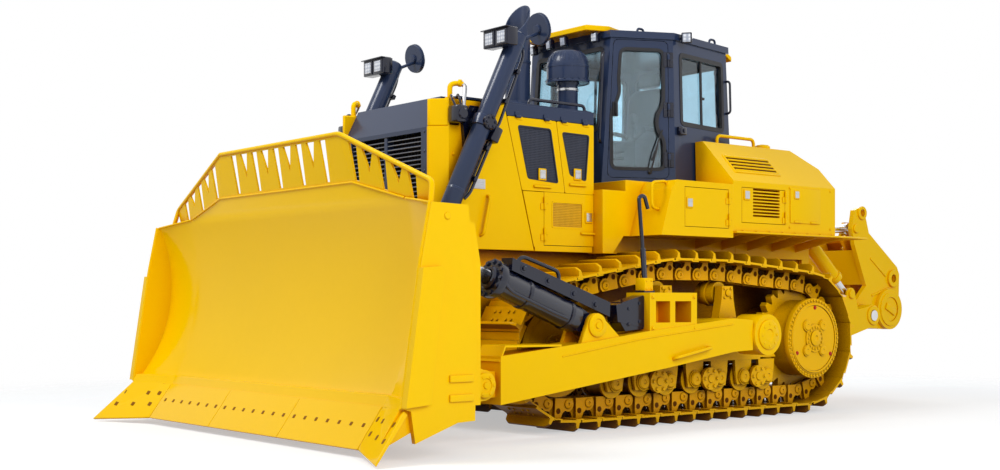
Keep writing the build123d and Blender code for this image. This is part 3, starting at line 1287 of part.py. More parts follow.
def make_tilt_cylinders():
    line = (TILT_REAR, TILT_EYE, ARM_Y)
    barrel = tube(*line, 170, TILT_TUBE_END, TILT_TUBE_R)
    barrel += tube(*line, TILT_TUBE_END - 70, TILT_TUBE_END, TILT_TUBE_R + 40)
    barrel -= tube(*line, 300, TILT_TUBE_END + 1, TILT_ROD_R + ROD_PLAY)
    ring = cross_bar(*TILT_REAR, 100, (ARM_Y - TILT_EAR_GAP + 6, ARM_Y + TILT_EAR_GAP - 6))
    neck = side_plate([
        along(TILT_REAR, TILT_EYE, 0, 85), along(TILT_REAR, TILT_EYE, 180, 110),
        along(TILT_REAR, TILT_EYE, 180, -110), along(TILT_REAR, TILT_EYE, 0, -85),
    ], (ARM_Y - 66, ARM_Y + 66))
    barrel = barrel + ring + neck - cross_bar(*TILT_REAR, TILT_PIN_R + PIN_PLAY, (ARM_Y - 300, ARM_Y + 300))
    node("tilt_rods", *both(cylinder_rod(*line, TILT_TUBE_END - 300, TILT_ROD_R, 96, 80)))
    cover = side_plate([
        along(TILT_REAR, TILT_EYE, -190, 150), along(TILT_REAR, TILT_EYE, 1040, TILT_TUBE_R - 4),
        along(TILT_REAR, TILT_EYE, 1070, 230), along(TILT_REAR, TILT_EYE, -150, 275),
    ], (ARM_Y - 75, ARM_Y + 75))
    node("tilt_barrels", *both(barrel + (cover - tube(*line, 300, 1150, TILT_ROD_R + 20))))


# Ripper

def ripper_ears(centre, gap, width, pin, radius, foot_x, half_h):
    """Two ears on the hull's bracket either side of a pin."""
    ears = []
    for side in (-1, 1):
        y = sorted((centre + side * gap, centre + side * (gap + width)))
        outline = [
            (foot_x, pin[1] - half_h), (pin[0], pin[1] - radius), (pin[0], pin[1] + radius),
            (foot_x, pin[1] + half_h),
        ]
        ears.append(side_plate(outline, y) + cross_bar(*pin, radius, y))
    return ears


def make_ripper_bracket():
    back = HULL_REAR - 130
    base = block((back, HULL_REAR), (-RIPPER_ARM_Y - 120, RIPPER_ARM_Y + 120), (HULL_BOTTOM + 140, 2160))
    base -= block((back - 1, HULL_REAR + 1), (-200, 200), (HULL_TOP, 2161))
    ears = ripper_ears(RIPPER_ARM_Y, RIPPER_ARM_HALF + 6, 40, RIPPER_ARM_PIVOT, 115, back + 10, 170)
    ears += ripper_ears(RIPPER_ARM_Y, 46, 36, RIPPER_LIFT_TOP, 85, back + 10, 120)
    ears += ripper_ears(RIPPER_TILT_Y, 46, 36, RIPPER_TILT_FRONT, 85, back + 10, 120)
    pins = [
        cross_bar(*RIPPER_ARM_PIVOT, RIPPER_PIN_R, (RIPPER_ARM_Y - 120, RIPPER_ARM_Y + 120)),
        cross_bar(*RIPPER_LIFT_TOP, 40, (RIPPER_ARM_Y - 82, RIPPER_ARM_Y + 82)),
        cross_bar(*RIPPER_TILT_FRONT, 40, (RIPPER_TILT_Y - 82, RIPPER_TILT_Y + 82)),
    ]
    for piece in ears + pins:
        base += piece
        base += right_of(piece)
    node("ripper_bracket", base)


def make_ripper_arm():
    front, rear = RIPPER_ARM_PIVOT, RIPPER_PIN
    span = (RIPPER_ARM_Y - RIPPER_ARM_HALF, RIPPER_ARM_Y + RIPPER_ARM_HALF)
    arm = side_plate([
        along(front, rear, 0, 125), along(front, rear, 0, -115), along(front, rear, 500, -150),
        along(front, rear, math.dist(front, rear), -125), along(front, rear, math.dist(front, rear), 130),
        along(front, rear, 500, 150),
    ], span)
    arm += cross_bar(*front, 120, span) + cross_bar(*rear, 135, span)
    x, z = RIPPER_LUG
    for low in (span[0], span[1] - 28):
        y = (low, low + 28)
        arm += side_plate([(x - 190, 950), (x + 260, 900), (x + 75, z), (x - 75, z)], y)
        arm += cross_bar(x, z, 80, y)
    tie_x, tie_z = along(front, rear, 560)
    arm -= cross_bar(*front, RIPPER_PIN_R + PIN_PLAY, (0, 2000))
    arm -= cross_bar(*rear, RIPPER_PIN_R + PIN_PLAY, (0, 2000))
    tie = cross_bar(tie_x, tie_z, 95, (-span[0] - 5, span[0] + 5))
    node("ripper_arm", arm + right_of(arm) + tie)
    node("ripper_pivot_pin", cross_bar(*rear, RIPPER_PIN_R, (-span[1] - 25, span[1] + 25)))


def make_ripper_beam():
    px, pz = RIPPER_PIN
    outer = (RIPPER_HALF_W - RIPPER_PLATE, RIPPER_HALF_W)
    plate = side_plate([
        (-3912, 2376), (-4010, 2330), (-4101, 2066), (-4700, 1650), (RIPPER_REAR, 1560),
        (RIPPER_REAR + 14, DRUM[1]), (DRUM[0], DRUM[1] - DRUM_R),
        (px - 60, pz - 150), (px + 130, pz - 30), (px + 60, pz + 150),
        (-4041, 1405), (-3804, 1914), (-3750, 2110), (-3800, 2340),
    ], outer)
    plate += cross_bar(px, pz, 150, (outer[0], RIPPER_ARM_Y - RIPPER_ARM_HALF - 6))
    cheek = side_plate([
        (-4130, 1300), (-4180, 1850), (-4700, 1620), (RIPPER_REAR + 5, 1540), (RIPPER_REAR + 40, DRUM[1]),
    ], (80, 140))
    inner_ear = side_plate([
        (-3860, 2200), (-4000, 2200), (-4230, 1750), (-4100, 1600), (-3780, 2010),
    ], (RIPPER_TILT_Y - 82, RIPPER_TILT_Y - 47))
    beam = cross_bar(*DRUM, DRUM_R, (-DRUM_FACE, DRUM_FACE))
    for piece in (plate, cheek, inner_ear):
        beam += piece
        beam += right_of(piece)
    inside = (-RIPPER_HALF_W + 5, RIPPER_HALF_W - 5)
    web = side_plate([(-4085, 1420), (-4040, 1420), (-3870, 1850), (-3920, 1850)], inside)
    roof = side_plate([(-4120, 2000), (-4150, 1960), (-4690, 1590), (-4710, 1640)], inside)
    beam = beam + web + roof
    slot = block((DRUM[0] - 400, -4230), (-79, 79), (DRUM[1] - 400, 2200))
    beam = beam - slot
    beam -= cross_bar(px, pz, RIPPER_PIN_R + PIN_PLAY, (-2000, 2000))
    beam -= cross_bar(-3952, 2310, 42, (-2000, 2000))
    beam -= cross_bar(-4600, 1500, 48, (-2000, 2000))
    node("ripper_beam", beam)


def ripper_cylinder(start, end, y, tube_end, rod_low, eye_half):
    line = (start, end, y)
    barrel = tube(*line, 110, tube_end, RIPPER_TUBE_R)
    barrel += side_plate([
        along(start, end, 0, 70), along(start, end, 120, 78),
        along(start, end, 120, -78), along(start, end, 0, -70),
    ], (y - 34, y + 34))
    barrel += tube(*line, tube_end - 70, tube_end, RIPPER_TUBE_R + 14)
    barrel -= tube(*line, 130, tube_end + 1, RIPPER_ROD_R + ROD_PLAY)
    barrel += cross_bar(*start, 78, (y - 40, y + 40))
    barrel -= cross_bar(*start, 40 + PIN_PLAY, (y - 41, y + 41))
    return barrel, cylinder_rod(*line, rod_low, RIPPER_ROD_R, 70, eye_half)


def make_ripper_cylinders():
    barrel, ram = ripper_cylinder(RIPPER_LIFT_TOP, RIPPER_LUG, RIPPER_ARM_Y, 735, 345, 30)
    node("ripper_lift_barrels", *both(barrel))
    node("ripper_lift_rods", *both(ram))
    barrel, ram = ripper_cylinder(RIPPER_TILT_FRONT, RIPPER_EAR, RIPPER_TILT_Y, 760, 375, 40)
    node("ripper_tilt_barrels", *both(barrel))
    node("ripper_tilt_rods", *both(ram))


# Rails and posts

def pipe(points, radius):
    """A tube bent smoothly through points."""
    path = FilletPolyline(*points, radius=radius * 2)
    return sweep(Plane(origin=path @ 0, z_dir=path % 0) * Circle(radius), path=path)


def make_rails():
    post = pipe([
        (1112, ARM_Y, CRADLE_TOP + 12), (1150, ARM_Y, 1800), (1190, ARM_Y, 2180), (1120, ARM_Y, 2210),
        (1070, ARM_Y, 2080),
    ], 19)
    foot = block((1040, 1180), (ARM_Y - 60, ARM_Y + 60), (CRADLE_TOP, CRADLE_TOP + 20))
    node("hand_posts", *both(post + foot))
    tank_rail = pipe([
        (FENDER_REAR - 120, 900, TANK_TOP), (FENDER_REAR - 120, 900, TANK_TOP + 260),
        (FENDER_REAR - 1050, 900, TANK_TOP + 260), (FENDER_REAR - 1050, 900, TANK_TOP),
    ], 19)
    node("handrails", *both(tank_rail))


def make_all():
    make_tracks()
    make_track_frame()
    make_rollers()
    make_final_drives()
    make_main_frame()
    make_radiator_guard()
    make_grille()
    hood_leaves, post_leaves = make_bay_doors()
    make_hood(hood_leaves)
    make_bay_sides(post_leaves)
    make_stacks()
    make_cab()
    make_visors()
    make_cab_inside()
    make_platform()
    make_fenders()
    make_tanks()
    make_deck()
    make_push_arms()
    make_mouldboard()
    make_lift_cylinders()
    make_tilt_cylinders()
    make_ripper_bracket()
    make_ripper_arm()
    make_ripper_beam()
    make_ripper_cylinders()
    make_rails()


make_all()
os.makedirs("parts", exist_ok=True)
for name, shape in PARTS.items():
    export_step(shape, f"parts/{name}.step")
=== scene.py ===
"""Looks for the tracked bulldozer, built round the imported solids.

Metres, in the machine's own frame: +X forward, +Y to the operator's left, +Z up.
Wheels, pins, planes and lines that several pieces share are named at the head of their section.
"""
import json
import math

import bpy
import numpy as np
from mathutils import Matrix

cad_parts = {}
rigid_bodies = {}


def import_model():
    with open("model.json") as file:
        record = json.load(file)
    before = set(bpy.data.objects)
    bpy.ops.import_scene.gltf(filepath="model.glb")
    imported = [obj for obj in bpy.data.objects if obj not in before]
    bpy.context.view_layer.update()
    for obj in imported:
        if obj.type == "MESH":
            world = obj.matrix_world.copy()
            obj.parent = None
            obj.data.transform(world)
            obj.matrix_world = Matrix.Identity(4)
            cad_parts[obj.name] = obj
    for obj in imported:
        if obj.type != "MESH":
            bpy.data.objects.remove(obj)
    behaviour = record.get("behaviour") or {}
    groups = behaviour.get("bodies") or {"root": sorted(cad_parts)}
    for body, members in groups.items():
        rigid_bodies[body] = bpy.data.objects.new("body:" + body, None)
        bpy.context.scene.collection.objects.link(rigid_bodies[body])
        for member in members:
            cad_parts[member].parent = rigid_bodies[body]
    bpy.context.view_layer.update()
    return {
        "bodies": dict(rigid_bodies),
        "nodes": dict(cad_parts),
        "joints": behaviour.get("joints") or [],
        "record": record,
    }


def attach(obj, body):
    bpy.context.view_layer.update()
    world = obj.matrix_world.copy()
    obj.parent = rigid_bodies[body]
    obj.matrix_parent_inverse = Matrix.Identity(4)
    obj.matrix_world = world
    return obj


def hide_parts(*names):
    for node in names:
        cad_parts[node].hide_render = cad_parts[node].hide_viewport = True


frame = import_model()
NODES = frame["nodes"]
AHEAD, LEFT, UP = (1, 0, 0), (0, 1, 0), (0, 0, 1)


# Numpy surfaces

def grid_faces(rows, cols):
    """Quads of a grid of points, whose rows are rings."""
    i, j = np.meshgrid(np.arange(rows - 1), np.arange(cols), indexing="ij")
    k = (j + 1) % cols
    quads = np.stack([i * cols + j, i * cols + k, (i + 1) * cols + k, (i + 1) * cols + j], -1)
    return quads.reshape(-1, 4)


def lathe(profile, sides=32):
    """A profile of (radius, height) turned about Z: x = r cos t, y = r sin t, z = h."""
    profile = np.asarray(profile, float)
    t = np.linspace(0, 2 * np.pi, sides, endpoint=False)
    x = profile[:, :1] * np.cos(t)
    y = profile[:, :1] * np.sin(t)
    z = np.repeat(profile[:, 1:], sides, 1)
    return np.stack([x, y, z], -1).reshape(-1, 3), grid_faces(len(profile), sides)


def carried(profile, path):
    """A flat profile of (u, v) carried along a path: p + u * side + v * up at each point.

    The side and up directions turn with the path by the smallest angle from point to point.
    """
    profile, path = np.asarray(profile, float), np.asarray(path, float)
    tangent = np.gradient(path, axis=0)
    tangent /= np.linalg.norm(tangent, axis=1, keepdims=True)
    seed = np.eye(3)[np.argmin(np.abs(tangent[0]))]
    side = np.cross(tangent[0], seed)
    sides = []
    for t in tangent:
        side = side - t * side.dot(t)
        side = side / np.linalg.norm(side)
        sides.append(side)
    sides = np.array(sides)
    ups = np.cross(tangent, sides)
    points = path[:, None] + profile[None, :, :1] * sides[:, None] + profile[None, :, 1:] * ups[:, None]
    return points.reshape(-1, 3), grid_faces(len(path), len(profile))


def tube(path, radius, sides=10):
    """A round tube along a path, closed at both ends by a ring of no size."""
    path = np.asarray(path, float)
    t = np.linspace(0, 2 * np.pi, sides, endpoint=False)
    verts = carried(np.stack([np.cos(t), np.sin(t)], -1) * radius, path)[0]
    rings = verts.reshape(len(path), sides, 3)
    ends = [np.repeat(path[:1], sides, 0)[None], np.repeat(path[-1:], sides, 0)[None]]
    rings = np.concatenate([ends[0], rings, ends[1]])
    return rings.reshape(-1, 3), grid_faces(len(path) + 2, sides)


def smooth_path(points, steps=12):
    """A smooth curve through points, by cubic Hermite pieces with chord tangents."""
    p = np.asarray(points, float)
    m = np.gradient(p, axis=0)
    t = np.linspace(0, 1, steps, endpoint=False)[None, :, None]
    a, b, ma, mb = p[:-1, None], p[1:, None], m[:-1, None], m[1:, None]
    h = a * (2 * t**3 - 3 * t**2 + 1) + ma * (t**3 - 2 * t**2 + t)
    h = h + b * (3 * t**2 - 2 * t**3) + mb * (t**3 - t**2)
    return np.concatenate([h.reshape(-1, 3), p[-1:]])


def bent_path(points, radius=0.05, steps=6):
    """Straight runs joined by quadratic bends that start a radius before each corner."""
    p = np.asarray(points, float)
    out = [p[:1]]
    t = np.linspace(0, 1, steps)[:, None]
    for a, b, c in zip(p[:-2], p[1:-1], p[2:]):
        start = b + (a - b) / np.linalg.norm(a - b) * radius
        end = b + (c - b) / np.linalg.norm(c - b) * radius
        out.append((1 - t)**2 * start + 2 * t * (1 - t) * b + t**2 * end)
    out.append(p[-1:])
    return np.concatenate(out)


def rounded_slab(half, round_by, steps=4):
    """A box with rounded edges: stacked rounded rectangles that shrink to the two faces."""
    hx, hy, hz = half
    corner = np.linspace(0, np.pi / 2, steps)
    angles = np.concatenate([corner + q * np.pi / 2 for q in range(4)])
    cx = np.repeat(np.array([1, -1, -1, 1]) * (hx - round_by), steps)
    cy = np.repeat(np.array([1, 1, -1, -1]) * (hy - round_by), steps)
    lat = np.linspace(-np.pi / 2, np.pi / 2, 2 * steps)
    grow = np.cos(lat) * round_by
    z = np.sin(lat) * round_by + np.sign(lat) * (hz - round_by)
    x = cx[None] + np.cos(angles)[None] * grow[:, None]
    y = cy[None] + np.sin(angles)[None] * grow[:, None]
    rings = np.stack([x, y, np.repeat(z[:, None], len(angles), 1)], -1)
    poles = np.zeros((2, len(angles), 3))
    poles[0, :, 2], poles[1, :, 2] = -hz, hz
    rings = np.concatenate([poles[:1], rings, poles[1:]])
    return rings.reshape(-1, 3), grid_faces(len(rings), len(angles))


def prism(outline, low, high):
    """A flat outline in X and Y, given height, its two caps as single faces."""
    outline = np.asarray(outline, float)
    n = len(outline)
    verts = np.concatenate([np.c_[outline, np.full(n, low)], np.c_[outline, np.full(n, high)]])
    faces = [list(q) for q in grid_faces(2, n)]
    return verts, faces + [list(range(n))[::-1], list(range(n, 2 * n))]


def joined(*shapes):
    """Several shapes as one list of points and faces."""
    verts, faces, start = [], [], 0
    for v, f in shapes:
        verts.append(np.asarray(v, float))
        faces += [[int(i) + start for i in face] for face in f]
        start += len(v)
    return np.concatenate(verts), faces


def placed(shape, *frames):
    """Copies of a shape, one for each frame (4 by 4)."""
    verts, faces = np.asarray(shape[0], float), [list(f) for f in shape[1]]
    frames = np.asarray(frames, float)
    homogeneous = np.c_[verts, np.ones(len(verts))]
    moved = np.einsum("fij,vj->fvi", frames, homogeneous)[..., :3].reshape(-1, 3)
    step = len(verts)
    return moved, [[i + step * k for i in face] for k in range(len(frames)) for face in faces]


def frame_at(origin, x_axis, z_axis):
    """The frame with its origin, its X direction and, nearly, its Z direction."""
    x = np.asarray(x_axis, float)
    x = x / np.linalg.norm(x)
    y = np.cross(z_axis, x)
    y = y / np.linalg.norm(y)
    matrix = np.eye(4)
    matrix[:3, 0], matrix[:3, 1], matrix[:3, 2], matrix[:3, 3] = x, y, np.cross(x, y), origin
    return matrix


def mirrored(shape):
    """A shape and its mirror image in the machine's middle plane."""
    verts, faces = np.asarray(shape[0], float), [list(f) for f in shape[1]]
    other = verts * (1, -1, 1)
    return joined((verts, faces), (other, [f[::-1] for f in faces]))


def piece(name, shape, material, body, replaces=(), bevel=0.0):
    """A mesh object at the origin that rides on a body."""
    verts, faces = shape
    mesh = bpy.data.meshes.new(name)
    mesh.from_pydata(np.asarray(verts).tolist(), [], [list(map(int, f)) for f in faces])
    mesh.validate()
    mesh.shade_smooth()
    mesh.set_sharp_from_angle(angle=math.radians(38))
    obj = bpy.data.objects.new(name, mesh)
    bpy.context.scene.collection.objects.link(obj)
    weld = obj.modifiers.new("weld", "WELD")
    weld.merge_threshold = 0.00005
    if bevel:
        soften(obj, bevel)
    mesh.materials.append(material)
    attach(obj, body)
    if replaces:
        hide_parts(*replaces)
    return obj


def soften(obj, width):
    """Rounds sharp edges so that they catch the light."""
    mod = obj.modifiers.new("edges", "BEVEL")
    mod.width = width
    mod.segments = 2
    mod.limit_method = "ANGLE"
    mod.angle_limit = math.radians(32)
    mod.harden_normals = False
    return mod


# Shader groups

def new_group(name, inputs, outputs):
    """An empty shader group with named sockets, and its input and output nodes."""
    tree = bpy.data.node_groups.new(name, "ShaderNodeTree")
    for label, kind, default in inputs:
        socket = tree.interface.new_socket(label, in_out="INPUT", socket_type=kind)
        socket.default_value = default
    for label, kind in outputs:
        tree.interface.new_socket(label, in_out="OUTPUT", socket_type=kind)
    return tree, tree.nodes.new("NodeGroupInput"), tree.nodes.new("NodeGroupOutput")


def add(tree, kind, links=None, **values):
    """A node with settings, and inputs set to values or joined to other sockets."""
    node = tree.nodes.new(kind)
    for key, value in values.items():
        setattr(node, key, value)
    for key, value in (links or {}).items():
        if isinstance(value, bpy.types.NodeSocket):
            tree.links.new(value, node.inputs[key])
        else:
            node.inputs[key].default_value = value
    return node


def noise(tree, vector, scale, detail=3.0, rough=0.55):
    """Cloudy noise from 0 to 1."""
    return add(tree, "ShaderNodeTexNoise", {
        "Vector": vector, "Scale": scale, "Detail": detail, "Roughness": rough,
    }).outputs["Fac"]


def ramp(tree, value, low, high, to_low=0.0, to_high=1.0):
    """Maps a value between two limits, clamped and eased."""
    return add(tree, "ShaderNodeMapRange", {
        "Value": value, "From Min": low, "From Max": high, "To Min": to_low, "To Max": to_high,
    }, interpolation_type="SMOOTHSTEP").outputs["Result"]


def math_node(tree, operation, a, b=0.0):
    """One sum on two values or sockets."""
    return add(tree, "ShaderNodeMath", {0: a, 1: b}, operation=operation).outputs[0]


def blend_colors(tree, factor, a, b):
    """Mixes two colours by a factor."""
    node = add(tree, "ShaderNodeMix", {"Factor": factor}, data_type="RGBA", blend_type="MIX")
    for index, value in ((6, a), (7, b)):
        if isinstance(value, bpy.types.NodeSocket):
            tree.links.new(value, node.inputs[index])
        else:
            node.inputs[index].default_value = value
    return node.outputs[2]


def build_edge_mask():
    """Where an outer edge lies: the angle between the true and a rounded normal, broken up by noise."""
    tree, given, result = new_group(
        "Edge mask", [("Radius", "NodeSocketFloat", 0.012)], [("Mask", "NodeSocketFloat")])
    place = add(tree, "ShaderNodeTexCoord").outputs["Object"]
    rounded = add(tree, "ShaderNodeBevel", {"Radius": given.outputs["Radius"]}, samples=4).outputs[0]
    true = add(tree, "ShaderNodeNewGeometry").outputs["Normal"]
    dot = add(tree, "ShaderNodeVectorMath", {0: rounded, 1: true}, operation="DOT_PRODUCT").outputs["Value"]
    edge = ramp(tree, dot, 0.995, 0.90)
    broken = ramp(tree, noise(tree, place, 9.0, 5.0), 0.36, 0.66)
    tree.links.new(math_node(tree, "MULTIPLY", edge, broken), result.inputs["Mask"])
    return tree


def build_paint_coat(edge_mask):
    """Sprayed paint: slow tone drift, fine peel, worn edges, painted shade in corners and on undersides, and
    dust low down.
    """
    tree, given, result = new_group("Paint coat", [
        ("Paint", "NodeSocketColor", (1, 1, 1, 1)), ("Worn", "NodeSocketColor", (1, 1, 1, 1)),
        ("Dust", "NodeSocketColor", (1, 1, 1, 1)), ("Wear", "NodeSocketFloat", 0.4),
        ("Dust Amount", "NodeSocketFloat", 0.2), ("Dust Height", "NodeSocketFloat", 1.5),
        ("Gloss", "NodeSocketFloat", 0.3), ("Grime", "NodeSocketColor", (0, 0, 0, 1)),
        ("Grime Amount", "NodeSocketFloat", 0.5), ("Grime Reach", "NodeSocketFloat", 0.3),
    ], [("Color", "NodeSocketColor"), ("Roughness", "NodeSocketFloat"), ("Height", "NodeSocketFloat")])
    place = add(tree, "ShaderNodeTexCoord").outputs["Object"]
    drift = ramp(tree, noise(tree, place, 0.9, 4.0), 0.3, 0.7, 0.985, 1.005)
    mottle = ramp(tree, noise(tree, place, 14.0, 6.0), 0.3, 0.7, 0.995, 1.004)
    tone = math_node(tree, "MULTIPLY", drift, mottle)
    tint = add(tree, "ShaderNodeVectorMath", {0: given.outputs["Paint"]}, operation="SCALE")
    tree.links.new(tone, tint.inputs["Scale"])
    edge = add(tree, "ShaderNodeGroup")
    edge.node_tree = edge_mask
    edge.inputs["Radius"].default_value = 0.01
    wear = math_node(tree, "MULTIPLY", edge.outputs["Mask"], given.outputs["Wear"])
    color = blend_colors(tree, wear, tint.outputs[0], given.outputs["Worn"])
    height = add(tree, "ShaderNodeSeparateXYZ", {0: place}).outputs["Z"]
    low = math_node(tree, "SUBTRACT", 1.0, math_node(tree, "DIVIDE", height, given.outputs["Dust Height"]))
    low = add(tree, "ShaderNodeClamp", {"Value": low}).outputs[0]
    patch = ramp(tree, noise(tree, place, 2.6, 6.0, 0.65), 0.38, 0.72)
    dust = math_node(tree, "MULTIPLY", math_node(tree, "MULTIPLY", low, patch), given.outputs["Dust Amount"])
    color = blend_colors(tree, dust, color, given.outputs["Dust"])
    # Painted shade: corners that ambient occlusion finds closed in, and faces that look down, blend towards
    # the shade colour.
    open_sky = add(
        tree, "ShaderNodeAmbientOcclusion", {"Distance": given.outputs["Grime Reach"]},
        samples=4).outputs["AO"]
    facing_up = add(
        tree, "ShaderNodeSeparateXYZ", {0: add(tree, "ShaderNodeNewGeometry").outputs["Normal"]}).outputs[2]
    corner = math_node(
        tree, "MAXIMUM", ramp(tree, open_sky, 0.15, 0.80, 1.0, 0.0),
        ramp(tree, facing_up, -0.9, -0.2, 0.85, 0.0))
    corner = math_node(tree, "MULTIPLY", corner, given.outputs["Grime Amount"])
    color = blend_colors(tree, corner, color, given.outputs["Grime"])
    tree.links.new(color, result.inputs["Color"])
    smear = ramp(tree, noise(tree, place, 5.0, 5.0), 0.3, 0.7, -0.015, 0.03)
    rough = math_node(tree, "ADD", given.outputs["Gloss"], smear)
    rough = math_node(tree, "ADD", rough, math_node(tree, "MULTIPLY", dust, 0.5))
    rough = math_node(tree, "ADD", rough, math_node(tree, "MULTIPLY", wear, 0.2))
    tree.links.new(rough, result.inputs["Roughness"])
    tree.links.new(noise(tree, place, 160.0, 2.0), result.inputs["Height"])
    return tree


def build_metal_grain():
    """Brushed or rolled metal: fine streaks along an axis and slow cloudiness."""
    tree, given, result = new_group("Metal grain", [
        ("Tint", "NodeSocketColor", (1, 1, 1, 1)), ("Stain", "NodeSocketColor", (1, 1, 1, 1)),
        ("Gloss", "NodeSocketFloat", 0.2), ("Stretch", "NodeSocketVector", (1, 1, 1)),
    ], [("Color", "NodeSocketColor"), ("Roughness", "NodeSocketFloat"), ("Height", "NodeSocketFloat")])
    place = add(tree, "ShaderNodeTexCoord").outputs["Object"]
    stretched = add(
        tree, "ShaderNodeVectorMath", {0: place, 1: given.outputs["Stretch"]}, operation="MULTIPLY"
    ).outputs[0]
    streak = noise(tree, stretched, 90.0, 3.0)
    cloud = ramp(tree, noise(tree, place, 3.0, 5.0), 0.35, 0.75)
    color = blend_colors(
        tree, math_node(tree, "MULTIPLY", cloud, 0.6), given.outputs["Tint"], given.outputs["Stain"])
    tree.links.new(color, result.inputs["Color"])
    rough = math_node(tree, "ADD", given.outputs["Gloss"], ramp(tree, streak, 0.3, 0.7, -0.04, 0.1))
    tree.links.new(
        math_node(tree, "ADD", rough, math_node(tree, "MULTIPLY", cloud, 0.12)), result.inputs["Roughness"])
    tree.links.new(streak, result.inputs["Height"])
    return tree


EDGE_MASK = build_edge_mask()
PAINT_COAT = build_paint_coat(EDGE_MASK)
METAL_GRAIN = build_metal_grain()


# Materials

def srgb(r, g, b):
    """A colour seen as red, green and blue of 255, as linear light."""
    c = np.array([r, g, b]) / 255.0
    linear = np.where(c <= 0.04045, c / 12.92, ((c + 0.055) / 1.055)**2.4)
    return (*linear.tolist(), 1.0)


def new_material(name, **constants):
    """A material with its Principled shader's constants set on their own sockets."""
    material = bpy.data.materials.new(name)
    material.use_nodes = True
    shader = material.node_tree.nodes["Principled BSDF"]
    for key, value in constants.items():
        shader.inputs[key.replace("_", " ")].default_value = value
    return material, material.node_tree, shader


def bump(tree, shader, height, strength, distance):
    """Tips the shader's normal by a height."""
    node = add(tree, "ShaderNodeBump", {"Height": height, "Strength": strength, "Distance": distance})
    tree.links.new(node.outputs[0], shader.inputs["Normal"])


def grouped(tree, group_tree, **values):
    """Places a shared node group in a material, with this material's own values."""
    node = add(tree, "ShaderNodeGroup")
    node.node_tree = group_tree
    for key, value in values.items():
        node.inputs[key.replace("_", " ")].default_value = value
    return node


def painted(
    name, paint, worn, gloss, wear=0.3, dust_amount=0.1, dust_height=1.6, coat=0.1, shine=0.25, painted_shade_and_grime=None,
    painted_shade_amount=0.5, painted_shade_reach=0.3,
):
    """Machine enamel with worn edges and ground dust, and a painted shade that darkens its corners and
    undersides.
    """
    material, tree, shader = new_material(
        name, Coat_Weight=coat, Coat_Roughness=0.10, Specular_IOR_Level=shine)
    group = grouped(
        tree, PAINT_COAT, Paint=paint, Worn=worn, Dust=srgb(168, 140, 104), Wear=wear,
        Dust_Amount=dust_amount, Dust_Height=dust_height, Gloss=gloss,
        Grime=painted_shade_and_grime or (*(0.35 * c for c in paint[:3]), 1.0), Grime_Amount=painted_shade_amount,
        Grime_Reach=painted_shade_reach)
    tree.links.new(group.outputs["Color"], shader.inputs["Base Color"])
    tree.links.new(group.outputs["Roughness"], shader.inputs["Roughness"])
    bump(tree, shader, group.outputs["Height"], 0.025, 0.0015)
    return material


def bare_metal(name, tint, stain, gloss, stretch=(1, 1, 1), strength=0.05):
    """Bare metal with grain."""
    material, tree, shader = new_material(name, Metallic=1.0)
    group = grouped(tree, METAL_GRAIN, Tint=tint, Stain=stain, Gloss=gloss, Stretch=stretch)
    tree.links.new(group.outputs["Color"], shader.inputs["Base Color"])
    tree.links.new(group.outputs["Roughness"], shader.inputs["Roughness"])
    bump(tree, shader, group.outputs["Height"], strength, 0.0006)
    return material


def glazing(name, tint):
    """Tinted safety glass with a faint film of dust."""
    material, tree, shader = new_material(name, Transmission_Weight=1.0, IOR=1.45, Metallic=0.0)
    place = add(tree, "ShaderNodeTexCoord").outputs["Object"]
    film = ramp(tree, noise(tree, place, 3.5, 5.0), 0.35, 0.75)
    color = blend_colors(tree, film, tint, tuple(min(1.0, c * 0.9) for c in tint[:3]) + (1.0,))
    tree.links.new(color, shader.inputs["Base Color"])
    tree.links.new(ramp(tree, film, 0.0, 1.0, 0.01, 0.07), shader.inputs["Roughness"])
    return material


def grained(name, color, shade, rough, scale=220.0, strength=0.25):
    """Moulded plastic or rubber with a pebbled grain."""
    material, tree, shader = new_material(name)
    place = add(tree, "ShaderNodeTexCoord").outputs["Object"]
    cloud = ramp(tree, noise(tree, place, 4.0, 5.0), 0.3, 0.7)
    tree.links.new(blend_colors(tree, cloud, color, shade), shader.inputs["Base Color"])
    tree.links.new(ramp(tree, cloud, 0.0, 1.0, rough - 0.06, rough + 0.08), shader.inputs["Roughness"])
    cells = add(tree, "ShaderNodeTexVoronoi", {"Vector": place, "Scale": scale}).outputs["Distance"]
    bump(tree, shader, cells, strength, 0.001)
    return material


def woven(name, color, shade):
    """Seat cloth: two crossed wave patterns give the weave."""
    material, tree, shader = new_material(name, Sheen_Weight=0.3)
    place = add(tree, "ShaderNodeTexCoord").outputs["Object"]
    waves = [
        add(
            tree, "ShaderNodeTexWave", {"Vector": place, "Scale": 130.0}, bands_direction=axis
        ).outputs["Fac"]
        for axis in ("Y", "Z")
    ]
    weave = math_node(tree, "MULTIPLY", waves[0], waves[1])
    tree.links.new(blend_colors(tree, weave, color, shade), shader.inputs["Base Color"])
    tree.links.new(ramp(tree, weave, 0.0, 1.0, 0.8, 0.95), shader.inputs["Roughness"])
    bump(tree, shader, weave, 0.4, 0.001)
    return material


